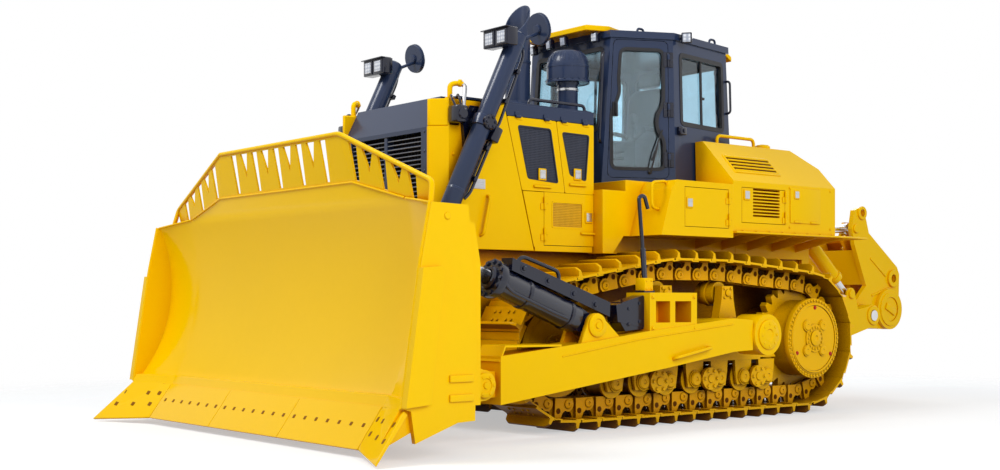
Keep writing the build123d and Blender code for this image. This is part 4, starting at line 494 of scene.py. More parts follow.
def perforated(name, color, hole, pitch, axes=(0, 2)):
    """A mesh panel: round holes on a square pitch, sunken, and dark inside as a painted shade."""
    material, tree, shader = new_material(name)
    place = add(tree, "ShaderNodeTexCoord").outputs["Object"]
    split = add(tree, "ShaderNodeSeparateXYZ", {0: place})
    cells = []
    for axis in axes:
        turn = math_node(tree, "MULTIPLY", split.outputs[axis], 2 * math.pi / pitch)
        cells.append(math_node(tree, "SINE", turn))
    dots = math_node(tree, "ADD", cells[0], cells[1])
    mask = ramp(tree, dots, 0.1, 0.5)
    painted_shade_and_grime = ramp(tree, noise(tree, place, 6.0, 5.0), 0.3, 0.7)
    plate = blend_colors(tree, painted_shade_and_grime, color, tuple(c * 0.8 for c in color[:3]) + (1.0,))
    # The holes take the hole colour, a painted shade of the space behind the mesh.
    tree.links.new(blend_colors(tree, mask, plate, hole), shader.inputs["Base Color"])
    tree.links.new(ramp(tree, mask, 0.0, 1.0, 0.4, 0.9), shader.inputs["Roughness"])
    bump(tree, shader, math_node(tree, "SUBTRACT", 1.0, mask), 0.5, 0.004)
    return material


def lamp_lens(name):
    """A clear lens over reflector cells: their brightness is a painted reflection, and the lens has a faint
    painted glow.
    """
    material, tree, shader = new_material(name, Coat_Weight=0.8, Emission_Strength=0.15)
    place = add(tree, "ShaderNodeTexCoord").outputs["Object"]
    cells = add(
        tree, "ShaderNodeTexVoronoi", {"Vector": place, "Scale": 28.0, "Randomness": 0.1}
    ).outputs["Distance"]
    tone = blend_colors(tree, ramp(tree, cells, 0.0, 0.7), (0.80, 0.83, 0.88, 1), (0.30, 0.34, 0.42, 1))
    tree.links.new(tone, shader.inputs["Base Color"])
    # The cells' tone also glows faintly: a painted glow.
    tree.links.new(tone, shader.inputs["Emission Color"])
    tree.links.new(ramp(tree, cells, 0.0, 0.7, 0.08, 0.3), shader.inputs["Roughness"])
    bump(tree, shader, cells, 0.4, 0.004)
    return material


# Every enamel darkens its corners and undersides towards a shade colour, a painted shade; if none is given,
# its paint at 0.35 brightness, at half strength.
YELLOW = painted(
    "yellow enamel", srgb(253, 203, 0), srgb(255, 218, 60), 0.24, wear=0.2, dust_amount=0.02, coat=0.05,
    shine=0.06, painted_shade_and_grime=srgb(206, 106, 0), painted_shade_amount=0.75, painted_shade_reach=0.4)
BLADE_YELLOW = painted(
    "blade enamel", srgb(255, 205, 0), srgb(255, 220, 70), 0.15, wear=0.2, dust_amount=0.0, coat=0.11,
    shine=0.07, painted_shade_and_grime=srgb(214, 124, 0), painted_shade_amount=0.6, painted_shade_reach=0.4)
# Painted shade: the frame enamel is a darker, more orange copy of the yellow, with heavy painted shade, for
# the hull between the tracks.
SHADED_FRAME_YELLOW = painted(
    "frame enamel", srgb(236, 160, 0), srgb(255, 200, 50), 0.34, dust_amount=0.05, coat=0.03, shine=0.06,
    painted_shade_and_grime=srgb(72, 28, 0), painted_shade_amount=1.0, painted_shade_reach=0.7)
# Painted shade: the track and chain enamels are copies of the yellow set a little more orange, with strong
# painted shade in their corners.
TRACK_YELLOW = painted(
    "track enamel", srgb(250, 192, 0), srgb(255, 212, 60), 0.32, dust_amount=0.06, dust_height=1.2, coat=0.05,
    shine=0.08, painted_shade_and_grime=srgb(96, 40, 0), painted_shade_amount=0.95, painted_shade_reach=0.45)
CHAIN_YELLOW = painted(
    "chain enamel", srgb(246, 180, 0), srgb(252, 200, 50), 0.36, dust_amount=0.08, coat=0.04, shine=0.08,
    painted_shade_and_grime=srgb(84, 34, 0), painted_shade_amount=0.9)
PLUG_RED = painted("red caps", srgb(196, 40, 22), srgb(226, 96, 70), 0.35, wear=0.2)
SLATE = painted(
    "slate enamel", srgb(40, 53, 82), srgb(92, 106, 138), 0.24, dust_amount=0.0, coat=0.15, shine=0.28)
BLACK = painted(
    "black enamel", srgb(11, 16, 38), srgb(60, 70, 100), 0.20, dust_amount=0.0, coat=0.35, shine=0.42)
CHROME = bare_metal("hard chrome", (0.72, 0.73, 0.75, 1), (0.55, 0.56, 0.58, 1), 0.08, (1, 1, 6))
STEEL = bare_metal("zinc plate", (0.66, 0.67, 0.69, 1), (0.45, 0.45, 0.46, 1), 0.28)
# Painted highlight: the grille bars are pale enamel, standing for the lit edges of the louvres.
PALE_LIT_EDGE = painted("pale edge", srgb(112, 118, 130), srgb(160, 165, 174), 0.35)
CORE_BLACK = painted("radiator black", srgb(10, 10, 14), srgb(30, 31, 38), 0.6, coat=0.0, shine=0.1)
# Painted shade: the brown of the plough bolts stands for the shade in their countersunk sockets.
SOCKET_SHADE_BROWN = painted("bolt sockets", srgb(140, 88, 6), srgb(176, 124, 30), 0.5, coat=0.0, shine=0.1)
SHADE_BROWN = painted("shaded openings", srgb(96, 52, 2), srgb(130, 80, 12), 0.7, coat=0.0, shine=0.05)
MIRROR = bare_metal("mirror silver", (0.86, 0.88, 0.90, 1), (0.80, 0.82, 0.85, 1), 0.03, strength=0.01)
IRON = bare_metal("cast iron", (0.14, 0.14, 0.14, 1), (0.08, 0.075, 0.07, 1), 0.5, strength=0.4)
GLASS = glazing("cab glass", (0.60, 0.80, 0.90, 1))
RUBBER = grained("hose rubber", srgb(24, 24, 27), srgb(40, 40, 44), 0.55)
PLASTIC = grained("console plastic", srgb(34, 34, 38), srgb(48, 48, 52), 0.5)
CLOTH = woven("seat cloth", srgb(40, 42, 48), srgb(64, 66, 74))
DARK_MESH = perforated("dark mesh", srgb(46, 52, 70), srgb(24, 27, 38), 0.016)
OCHRE_MESH = perforated("ochre mesh", srgb(240, 184, 4), srgb(176, 122, 4), 0.016)
LENS = lamp_lens("lamp lens")

BY_NODE = {
    YELLOW: (
        "radiator_guard bay_sides engine_door_front_left engine_door_front_right "
        "engine_door_rear_left engine_door_rear_right service_door_left service_door_right sun_visors "
        "cab_platform fenders fender_door_left fender_door_right rear_tanks tank_door_left tank_door_right "
        "rear_deck push_arms spill_screen ripper_bracket ripper_arm ripper_beam "
        "handrails ripper_lift_barrels ripper_tilt_barrels"),
    BLADE_YELLOW: "mouldboard blade_edges",
    SHADED_FRAME_YELLOW: "main_frame",
    TRACK_YELLOW: "track_left track_right track_frames track_rollers final_drives",
    SLATE: (
        "radiator_grille hood_cover cab_shell cab_door_left cab_door_right exhaust_stack air_precleaner "
        "lift_barrels round_mirrors"),
    BLACK: "tilt_hose_guards tilt_barrels lift_yokes work_lamps hand_posts",
    CHROME: "lift_rods tilt_rods ripper_lift_rods ripper_tilt_rods ripper_pivot_pin",
    GLASS: "cab_glass door_glass_left door_glass_right",
    IRON: "engine_block",
    CLOTH: "operator_seat",
    PLASTIC: "control_consoles",
}


def dress_solids():
    """Gives every solid its finish and rounds its edges."""
    for material, names in BY_NODE.items():
        for name in names.split():
            obj = NODES[name]
            obj.data.materials.clear()
            obj.data.materials.append(material)
            weld = obj.modifiers.new("weld", "WELD")
            weld.merge_threshold = 0.00002
            if material is not GLASS:
                soften(obj, 0.005)


dress_solids()


# Small shapes that repeat

def stepped_cap(radius, shoulder, face, height):
    """A cap's profile: straight up to its shoulder, then in to a flat face."""
    return [(0, 0), (radius, 0), (radius, shoulder), (face, height), (0, height)]


def dished_cap(radius, shoulder, face, height, rim, dish, floor):
    """A cap's profile whose flat face is a rim round a dished middle."""
    return stepped_cap(radius, shoulder, face, height)[:4] + [(rim, height), (dish, floor), (0, floor)]


def facing(points, axis, along=UP):
    """Frames at points whose Z follows an axis and whose X lies near a direction."""
    axis = np.asarray(axis, float)
    side = np.asarray(along, float) - axis * np.dot(along, axis) / np.dot(axis, axis)
    if np.linalg.norm(side) < 1e-6:
        side = np.array([1.0, 0, 0]) - axis * axis[0]
    return [frame_at(p, side, axis) for p in points]


def hex_head(size):
    """A six-sided bolt head with a chamfered crown, on a round washer."""
    washer = lathe([(0, 0), (1.45 * size, 0), (1.4 * size, 0.22 * size), (0, 0.22 * size)], 14)
    head = lathe(
        [
            (0, 0.2 * size), (size, 0.2 * size), (size, 0.75 * size), (0.8 * size, 0.92 * size),
            (0, 0.92 * size)],
        6)
    return joined(washer, head)


def round_head(size):
    """A domed stud head: a quarter ellipse turned about its axis."""
    t = np.linspace(0, np.pi / 2, 5)
    dome = np.c_[size * np.cos(t), 0.6 * size * np.sin(t)]
    return lathe(np.concatenate([[[0, 0]], dome]), 12)


def ring_of(centre, axis, radius, count, turn=0.0):
    """Points evenly spaced on a circle about an axis."""
    frame = facing([centre], axis, (1, 0, 0.01))[0]
    t = turn + np.linspace(0, 2 * np.pi, count, endpoint=False)
    flat = np.c_[radius * np.cos(t), radius * np.sin(t), np.zeros(count), np.ones(count)]
    return (flat @ frame.T)[:, :3]


def bolt_heads(size, spots, axis, along=UP):
    """Bolt heads at spots, each looking along an axis."""
    return placed(hex_head(size), *facing(spots, axis, along))


def bolt_ring(size, centre, axis, radius, count, turn=0.0):
    """Bolt heads evenly spaced on a circle about an axis."""
    return bolt_heads(size, ring_of(centre, axis, radius, count, turn), axis)


def stud_heads(size, spots, axis, along=UP):
    """Domed studs at spots, each looking along an axis."""
    return placed(round_head(size), *facing(spots, axis, along))


def turned(profile, centre, axis, sides=40):
    """A profile of (radius, height) turned about an axis through a point."""
    return placed(lathe(profile, sides), *facing([centre], axis, (1, 0, 0.01)))


def disc_profile(radius, height, edge=0.006):
    """A flat disc with a chamfered rim."""
    return [(0, 0), (radius, 0), (radius, height - edge), (radius - edge, height), (0, height)]


def slab(centre, half, axis=LEFT, along=AHEAD, round_by=0.006):
    """A rounded plate whose face looks along an axis."""
    return placed(rounded_slab(half, min(round_by, 0.99 * min(half)), 3), *facing([centre], axis, along))


def across(place, y):
    """A place in X and Z, at a width y."""
    return np.array([place[0], y, place[1]])


def heading(start, end):
    """The unit direction in X and Z from one place to another."""
    return (end - start) / np.linalg.norm(end - start)


def beside(start, end, distance, lift, y):
    """A point by its distance along a line in X and Z, its height off the line and its width."""
    t = heading(start, end)
    return across(start + t * distance + np.array([-t[1], t[0]]) * lift, y)


def translation(x, y, z):
    """A frame moved from the origin and not turned."""
    matrix = np.eye(4)
    matrix[:3, 3] = x, y, z
    return matrix


def upright(shape):
    """Stands an outline drawn in X and Y up into X and Z."""
    verts, faces = shape
    verts = np.asarray(verts)
    return np.c_[verts[:, 0], -verts[:, 2], verts[:, 1]], faces


def side_prism(outline, low, high):
    """An outline in X and Z, given thickness between two values of Y."""
    return upright(prism(outline, -high, -low))


def other_side(shape):
    """The mirror image of a shape in the machine's middle plane."""
    verts, faces = shape
    return np.asarray(verts) * (1, -1, 1), [list(f)[::-1] for f in faces]


def per_side(name, shape, material, body, **options):
    """A piece on a left body and its mirror image on the right one."""
    left = piece(name + "_left", shape, material, body, **options)
    right = piece(name + "_right", other_side(shape), material, body.replace("left", "right"), **options)
    return left, right


# Track chain

TRACK_Y = 1.13
SHOE_LEVEL = 0.137        # pin line to the shoe plates
SHOE_TIP = 0.247          # pin line to the grouser tips
SHOE_TOP = 0.159          # pin line to the plates' outer face
GROUSER_FOOT = 0.166      # pin line to where the grouser leaves its plate
SHOE_HALF = 0.305
LINK_FOOT = -0.053        # the links' running face
LINK_FACE = 0.112         # the links' outer sides, from the track's middle
SHOE_LIP = 0.075          # how far a shoe reaches in under the next, so that bends stay closed
WHEELS = ((-1.680, 0.811, 0.564), (1.850, 0.747, 0.500), (0.520, 1.295, 0.182), (-0.390, 1.295, 0.182))
LINK_COUNT = 40


def belt_points(count):
    """Evenly spaced points on a belt round the wheels: straight runs and arcs, by length."""
    wheels = np.array(WHEELS)
    following = np.roll(wheels, -1, 0)
    step = following[:, :2] - wheels[:, :2]
    gap = np.linalg.norm(step, axis=1)
    normal = np.arctan2(step[:, 1], step[:, 0]) - np.pi / 2 + np.arcsin(
        (wheels[:, 2] - following[:, 2]) / gap)
    fine = []
    for k in range(len(wheels)):
        a, b = wheels[k], following[k]
        out = np.array([np.cos(normal[k]), np.sin(normal[k])])
        fine.append(np.linspace(a[:2] + a[2] * out, b[:2] + b[2] * out, 400, endpoint=False))
        turn = (normal[(k + 1) % len(wheels)] - normal[k]) % (2 * np.pi)
        t = normal[k] + np.linspace(0, turn, 400, endpoint=False)
        fine.append(b[:2] + b[2] * np.c_[np.cos(t), np.sin(t)])
    fine = np.concatenate(fine + [fine[0][:1]])
    length = np.concatenate([[0], np.cumsum(np.linalg.norm(np.diff(fine, axis=0), axis=1))])
    wanted = np.linspace(0, length[-1], count, endpoint=False)
    return np.c_[np.interp(wanted, length, fine[:, 0]), np.interp(wanted, length, fine[:, 1])]


def link_frames(side):
    """One frame for each link: X along the link, Z out to its shoe."""
    pins = belt_points(LINK_COUNT)
    ahead = np.roll(pins, -1, 0) - pins
    frames = []
    for (x, z), (dx, dz) in zip(pins, ahead):
        frames.append(frame_at((x, side * TRACK_Y, z), (dx, 0, dz), (dz, 0, -dx)))
    return np.array(frames), float(np.linalg.norm(ahead, axis=1).mean())


def arc_points(centre, radius, start, end, count=9):
    """Points on a circle between two angles in degrees."""
    t = np.radians(np.linspace(start, end, count))
    return np.c_[centre[0] + radius * np.cos(t), centre[1] + radius * np.sin(t)]


def link_shape(length):
    """A forged link pair: lobes round two pins, held to the shoe only by the pads between them."""
    front = np.concatenate([
        [
            (0.62 * length, LINK_FOOT), (0.62 * length, SHOE_LEVEL), (0.34 * length, SHOE_LEVEL),
            (0.25 * length, 0.088)],
        arc_points((0, 0), 0.070, 62, 228), [(-0.02, LINK_FOOT)],
    ])
    back = np.concatenate([
        [(0.40 * length, LINK_FOOT)], arc_points((length, 0), 0.062, -56, 112),
        [(0.76 * length, 0.084), (0.68 * length, SHOE_LEVEL), (0.40 * length, SHOE_LEVEL)],
    ])
    shapes = []
    for sign in (-1, 1):
        for outline, low, high in ((front, 0.076, LINK_FACE), (back, 0.046, 0.078)):
            span = sorted((sign * low, sign * high))
            shapes.append(side_prism(outline, *span))
        pin_end = dished_cap(0.044, 0.013, 0.037, 0.018, 0.016, 0.013, 0.010)
        shapes.append(turned(pin_end, (0, sign * 0.108, 0), (0, sign, 0), 14))
    shapes.append(turned([(0, 0), (0.052, 0), (0.052, 0.094), (0, 0.094)], (0, -0.047, 0), LEFT, 14))
    return joined(*shapes)


def link_windows(length):
    """The shaded nut window of a link: a flat disc on each outer face."""
    disc = [(0, 0), (0.027, 0), (0.027, 0.0015), (0, 0.0015)]
    return joined(
        *[turned(disc, (0.455 * length, sign * LINK_FACE, 0.066), (0, sign, 0), 14) for sign in (-1, 1)])


def shoe_shape(length):
    """A shoe plate with one grouser: a section carried across the track, cut down at both ends."""
    low, high = 0.003, length - 0.003
    section = np.array([
        (low, SHOE_LEVEL), (high - 0.030, SHOE_LEVEL), (high - 0.012, SHOE_LEVEL - 0.012),
        (high + SHOE_LIP, SHOE_LEVEL - 0.012), (high + SHOE_LIP, SHOE_LEVEL - 0.002),
        (high, SHOE_LEVEL - 0.002),
        (high, SHOE_TOP), (0.078, SHOE_TOP),
        (0.064, GROUSER_FOOT), (0.058, SHOE_TIP - 0.004), (0.054, SHOE_TIP), (0.034, SHOE_TIP),
        (0.030, SHOE_TIP - 0.004),
        (0.022, GROUSER_FOOT), (0.012, SHOE_TOP), (low, 0.155),
    ])
    stations = np.array([-SHOE_HALF, -0.292, -0.255, 0.255, 0.292, SHOE_HALF])
    cut = np.array([0.034, 0.022, 0.0, 0.0, 0.022, 0.034])
    tall = np.clip((section[:, 1] - GROUSER_FOOT) / (SHOE_TIP - GROUSER_FOOT), 0, 1)
    w = section[None, :, 1] - cut[:, None] * tall[None]
    u = np.repeat(section[None, :, 0], len(stations), 0)
    y = np.repeat(stations[:, None], len(section), 1)
    count = len(section)
    verts = np.stack([u, y, w], -1).reshape(-1, 3)
    faces = [list(q)[::-1] for q in grid_faces(len(stations), count)]
    faces += [list(range(count)), list(range((len(stations) - 1) * count, len(stations) * count))[::-1]]
    spots = [(u, y, SHOE_TOP) for u in (0.115, 0.200) for y in (-0.135, -0.062, 0.062, 0.135)]
    return joined((verts, faces), bolt_heads(0.014, spots, UP, AHEAD))


def build_tracks():
    """Chains and shoes for both tracks, each standing for its plain loop."""
    for side, name in ((1, "track_left"), (-1, "track_right")):
        frames, length = link_frames(side)
        chain = placed(link_shape(length), *frames)
        shoes = placed(shoe_shape(length), *frames)
        piece(name + "_shoes", shoes, TRACK_YELLOW, "hull", replaces=(name,))
        piece(name + "_chain", chain, CHAIN_YELLOW, "hull")
        piece(name + "_link_windows", placed(link_windows(length), *frames), SHADE_BROWN, "hull")


build_tracks()


# Undercarriage details

DRIVE_FACE = 1.458        # widths of the faces that carry bolts and caps
ROLLER_FACE = 1.332
CAST_FACE = 1.372
CARRIER_FACE = 1.365
IDLER_FACE = 1.302
FIRST_ROLLER, ROLLER_PITCH, ROLLER_COUNT = 1.170, 0.372, 7
ROLLER_Z, CAST_Z = 0.4253, 0.425


def build_drives():
    """Bolt rings, plugs and rims on the final drives."""
    drive_x, drive_z, _ = WHEELS[0]
    face = np.array([drive_x, DRIVE_FACE, drive_z])
    rim = bolt_ring(0.0145, face, LEFT, 0.4075, 52)
    hub = bolt_ring(0.013, face + (0, 0.024, 0), LEFT, 0.118, 16)
    bosses = ring_of(face + (0, 0.026, 0), LEFT, 0.190, 4, np.pi / 4)
    cap = dished_cap(0.052, 0.004, 0.046, 0.009, 0.02, 0.016, 0.004)
    caps = joined(*[turned(cap, boss, LEFT, 24) for boss in bosses])
    ridge = [(0.352, 0), (0.378, 0), (0.372, 0.010), (0.358, 0.010), (0.352, 0)]
    lip = turned(ridge, face + (0, 0.008, 0), LEFT, 72)
    cover = turned(dished_cap(0.085, 0.012, 0.075, 0.018, 0.03, 0.022, 0.010), face + (0, 0.024, 0), LEFT, 36)
    piece("drive_bolts", mirrored(joined(rim, hub, caps, lip, cover)), TRACK_YELLOW, "hull")
    plugs = bolt_ring(0.016, face + (0, 0.008, 0), LEFT, 0.330, 3, 0.5)
    piece("drive_plugs", mirrored(plugs), PLUG_RED, "hull")


def build_rollers():
    """Bolted caps on the lower rollers, and the six-lobed castings between them."""
    caps = []
    cap = dished_cap(0.074, 0.010, 0.060, 0.022, 0.024, 0.018, 0.014)
    for x in FIRST_ROLLER - ROLLER_PITCH * np.arange(ROLLER_COUNT):
        end = (x, ROLLER_FACE, ROLLER_Z)
        caps += [turned(cap, end, LEFT, 28), bolt_ring(0.011, end, LEFT, 0.062, 6, 0.3)]
    outline = np.concatenate([arc_points((0, 0), 0.125, a - 18, a + 18, 5) for a in range(0, 360, 60)])
    for x in FIRST_ROLLER - ROLLER_PITCH * np.array([1.5, 3.5, 5.5]):
        cast = side_prism(outline * (1.0, 0.92) + (x, CAST_Z), ROLLER_FACE, CAST_FACE)
        end = (x, CAST_FACE, CAST_Z)
        caps += [cast, bolt_ring(0.017, end, LEFT, 0.088, 6)]
        caps.append(turned(disc_profile(0.045, 0.012), end, LEFT, 24))
    piece("roller_caps", mirrored(joined(*caps)), TRACK_YELLOW, "hull", bevel=0.004)


def build_carriers():
    """Bolts on the carrier rollers' posts and on the idlers' hubs and yokes."""
    idler_x, hub_z, _ = WHEELS[1]
    bits = []
    for x, z, _ in WHEELS[2:]:
        spots = [(x + dx, CARRIER_FACE, z + dz) for dx in (-0.05, 0.05) for dz in (-0.045, 0.045)]
        bits.append(bolt_heads(0.014, spots, LEFT))
        bits.append(turned(stepped_cap(0.036, 0.012, 0.028, 0.018), (x, CARRIER_FACE, z), LEFT, 20))
        feet = [(x + dx, 1.30, 0.970) for dx in (-0.135, 0.135)]
        bits.append(bolt_heads(0.018, feet, UP, AHEAD))
    bits.append(turned(stepped_cap(0.080, 0.014, 0.066, 0.024), (idler_x, IDLER_FACE, hub_z), LEFT, 28))
    bits.append(bolt_ring(0.015, (idler_x, IDLER_FACE, hub_z), LEFT, 0.115, 6))
    rows = [(x, IDLER_FACE, z) for x in (1.25, 1.40, 1.55) for z in (0.68, 0.80)]
    bits.append(bolt_heads(0.016, rows, LEFT))
    piece("carrier_bolts", mirrored(joined(*bits)), TRACK_YELLOW, "hull")


build_drives()
build_rollers()
build_carriers()


# Blade details

EDGE_LOW = np.array([4.457, 0.066])       # the cutting edge's face, in X and Z
EDGE_HIGH = np.array([4.224, 0.386])
EDGE_HALF = 1.856         # half the width of the straight edge


def plough_bolt(size):
    """A square countersunk head; build_edges colours it brown, the painted shade of its socket."""
    return rounded_slab((size, size, 0.003), 0.0028, 2)


def build_edges():
    """Plough bolts along the straight edge and in the two end bits."""
    up = heading(EDGE_LOW, EDGE_HIGH)
    normal = np.array([up[1], 0, -up[0]])
    ys = np.linspace(-EDGE_HALF + 0.10, EDGE_HALF - 0.10, 21)
    rows = [across(EDGE_LOW + up * 0.215, y) for y in ys]
    heads = placed(plough_bolt(0.017), *facing(np.array(rows) + 0.0005 * normal, normal, LEFT))
    tip, top = np.array([4.750, 2.535, 0.028]), np.array([4.390, 2.390, 0.392])
    inner_low, inner_high = across(EDGE_LOW, EDGE_HALF + 0.004), across(EDGE_HIGH, EDGE_HALF + 0.004)
    spots = []
    for share, count, shift in ((0.72, 4, 0.12), (0.40, 3, 0.16)):
        a = inner_low + (inner_high - inner_low) * share
        b = tip + (top - tip) * share
        t = np.linspace(shift, 1 - shift, count)[:, None]
        spots.append(a + (b - a) * t)
    spots = np.concatenate(spots)
    out = np.cross(tip - inner_low, inner_high - inner_low)
    out = out / np.linalg.norm(out)
    out = out * np.sign(out[0])
    bits = placed(plough_bolt(0.021), *facing(spots + 0.001 * out, out, LEFT))
    # The bolt heads carry the painted shade of their sockets.
    piece("edge_bolts", joined(heads, mirrored(bits)), SOCKET_SHADE_BROWN, "blade")


def build_beads():
    """Weld beads along the crest, the wings and the end plates."""
    crest = [(4.000, -1.840, 2.030), (4.046, -1.159, 2.196), (4.046, 1.159, 2.196), (4.000, 1.840, 2.030)]
    beads = [tube(bent_path(np.array(crest), 0.02), 0.011, 8)]
    wing = np.array([(4.000, 1.858, 2.026), (4.118, 2.352, 1.960)])
    beads.append(mirrored(tube(wing, 0.010, 8)))
    edge = np.array([(4.137, 2.362, 1.962), (4.228, 2.362, 1.518), (4.398, 2.362, 0.404)])
    beads.append(mirrored(tube(bent_path(edge, 0.05), 0.013, 8)))
    piece("blade_beads", joined(*beads), YELLOW, "blade")


def build_pads():
    """Steps, bosses and wear plates on the blade's end plates."""
    pads = [
        slab((3.86, 2.400, 0.615), (0.115, 0.028, 0.012)), slab((3.86, 2.400, 0.465), (0.115, 0.028, 0.012)),
        turned(disc_profile(0.030, 0.012), (3.99, 2.392, 1.86), LEFT, 20),
        side_prism(
            [(4.244, 1.462), (4.062, 1.476), (4.040, 1.440), (4.172, 0.430), (4.404, 0.412)], 2.360, 2.436),
    ]
    piece("end_plate_pads", mirrored(joined(*pads)), BLADE_YELLOW, "blade", bevel=0.004)


def slotted_flat(bottom, top, slots, slot=(0.030, 0.050), notch=0.066):
    """A flat of the screen as plates between its slots, each web with a notch down into its top.

    A place on it lies at a width y on the bottom and top lines, and a share of the way up between the two.
    """
    bottom, top = np.array(bottom), np.array(top)

    def spot(y, share):
        """A place at width y, a share of the way up."""
        ends = [
            line[0] + (line[1] - line[0]) * (y - line[0, 1]) / (line[1, 1] - line[0, 1])
            for line in (bottom, top)
        ]
        return ends[0] + (ends[1] - ends[0]) * share

    def side_edge(k, share):
        """A place on the end edge k, a share of the way up."""
        return bottom[k] + (top[k] - bottom[k]) * share

    low, high, tip = 0.10, 0.93, 0.42
    webs = [
        [bottom[0], bottom[1], side_edge(1, low), side_edge(0, low)],
        [side_edge(0, high), side_edge(1, high), top[1], top[0]],
        [
            side_edge(0, low), spot(slots[0] - slot[0], low), spot(slots[0] - slot[1], high),
            side_edge(0, high)],
        [
            spot(slots[-1] + slot[0], low), side_edge(1, low), side_edge(1, high),
            spot(slots[-1] + slot[1], high)],
    ]
    for a, b in zip(slots[:-1], slots[1:]):
        middle = (a + b) / 2
        webs.append([
            spot(a + slot[0], low), spot(b - slot[0], low), spot(b - slot[1], high),
            spot(middle + notch, high),
            spot(middle, tip), spot(middle - notch, high), spot(a + slot[1], high),
        ])
    normal = np.cross(bottom[1] - bottom[0], top[0] - bottom[0])
    normal *= 0.010 / np.linalg.norm(normal)
    shapes = []
    for web in webs:
        n = len(web)
        verts = np.concatenate([np.array(web) - normal, np.array(web) + normal])
        faces = [list(q) for q in grid_faces(2, n)] + [list(range(n))[::-1], list(range(n, 2 * n))]
        shapes.append((verts, faces))
    return joined(*shapes)


def build_screen():
    """The spill screen: a middle flat, two side flats and a round rail bent along their tops."""
    crest, corner = np.array([4.030, 1.159, 2.182]), np.array([4.106, 1.041, 2.606])
    low, end = np.array([3.949, 2.148, 1.9415]), np.array([3.981, 2.188, 2.142])
    foot = np.array([4.035, 2.232, 1.905])
    over = np.array([1, -1, 1])
    middle = slotted_flat((crest * over, crest), (corner * over, corner), 0.392 * np.arange(-2, 3))
    side = slotted_flat((crest, low), (corner, end), np.array([1.225, 1.590, 1.955]))
    rail = tube(bent_path([corner * over, corner, end, foot], 0.05), 0.022, 12)
    rest = tube(bent_path([corner, end, foot], 0.05), 0.022, 12)
    plates = joined(middle, mirrored(side), rail, other_side(rest))
    piece("screen_plates", plates, YELLOW, "blade", replaces=("spill_screen",), bevel=0.003)


build_edges()
build_beads()
build_pads()
build_screen()


# Push arms and tilt cylinders

TILT_A, TILT_B = np.array([1.867, 0.993]), np.array([3.470, 1.590])    # the tilt cylinder's pins
TILT_Y = 1.655            # its middle line
ARM_PIN = (3.160, 0.506)            # the arm's pin behind the blade
ARM_TRUNNION = (-0.446, 0.874)      # the arm's ball on the track frame
POST_X = 1.118            # the hand post's foot
POST_Z = 1.365


def tilt_point(distance, lift=0.0, y=TILT_Y):
    """A point beside the tilt cylinder's line, by distance from its rear pin and height off it."""
    return beside(TILT_A, TILT_B, distance, lift, y)


def build_arms():
    """Pin caps, bolts, steps and covers on the push arms."""
    cap = [
        (0, 0), (0.105, 0), (0.105, 0.016), (0.094, 0.024), (0.060, 0.024), (0.055, 0.016), (0.030, 0.016),
        (0.026, 0.028), (0, 0.028)
    ]
    shapes = [turned(cap, across(ARM_PIN, 1.812), LEFT, 36)]
    shapes.append(bolt_ring(0.015, across(ARM_PIN, 1.828), LEFT, 0.080, 6))
    ball_cap = dished_cap(0.150, 0.012, 0.135, 0.022, 0.06, 0.05, 0.012)
    shapes.append(turned(ball_cap, across(ARM_TRUNNION, 1.850), LEFT, 40))
    shapes.append(bolt_ring(0.017, across(ARM_TRUNNION, 1.862), LEFT, 0.112, 8))
    shapes.append(turned(cap, across(TILT_A, 1.800), LEFT, 36))
    step = [(0.90, 1.818, 0.665), (0.90, 1.880, 0.680), (0.42, 1.880, 0.765), (0.42, 1.818, 0.760)]
    shapes.append(tube(bent_path(step, 0.04), 0.016, 10))
    fold = np.array(
        [(3.005, 0.700), (2.940, 0.835), (2.300, 0.832), (2.300, 0.813), (2.930, 0.818), (2.990, 0.700)])
    shapes.append(side_prism(fold, 1.50, 1.812))
    seam = np.array([(2.30, 1.822, 0.725), (1.30, 1.822, 0.865), (0.05, 1.822, 0.985)])
    shapes.append(tube(bent_path(seam, 0.1), 0.007, 6))
    spots = [(x, 1.811, z) for x in (0.60, 1.16) for z in (0.96, 1.25)]
    shapes.append(bolt_heads(0.016, spots, LEFT))
    piece("arm_fittings", mirrored(joined(*shapes)), YELLOW, "push_arm_pair")


def build_posts():
    """Bolts, cheeks and bars of the hose guards, and the feet of the hand posts."""
    post = [(1.112, TILT_Y + dy, 1.312) for dy in (-0.04, 0.04)] + [(x, TILT_Y, 1.312) for x in (1.06, 1.16)]
    bolts = bolt_heads(0.011, post, UP, AHEAD)
    plates = [(x, 1.730, z) for x, z in ((1.26, 1.19), (1.40, 1.14), (1.26, 1.02), (1.40, 1.00))]
    bolts = joined(bolts, bolt_heads(0.017, plates, LEFT))
    cheek = side_prism([(1.195, 0.962), (1.540, 1.020), (1.560, 1.175), (1.195, 1.255)], 1.600, 1.735)
    bar = slab(
        (1.126, TILT_Y, 1.560), (0.030, 0.014, 0.150), axis=(0.08, 0, 1), along=AHEAD, round_by=0.010)
    piece("guard_bolts", mirrored(joined(bolts, cheek, bar)), BLACK, "push_arm_pair", bevel=0.006)
    foot = slab((POST_X, TILT_Y, POST_Z), (0.056, 0.062, 0.064), round_by=0.008)
    heads = [(POST_X + dx, TILT_Y + 0.060, POST_Z + dz) for dx in (-0.033, 0.033) for dz in (-0.038, 0.038)]
    foot = joined(foot, bolt_heads(0.012, heads, LEFT))
    piece("post_feet", mirrored(foot), YELLOW, "push_arm_pair")


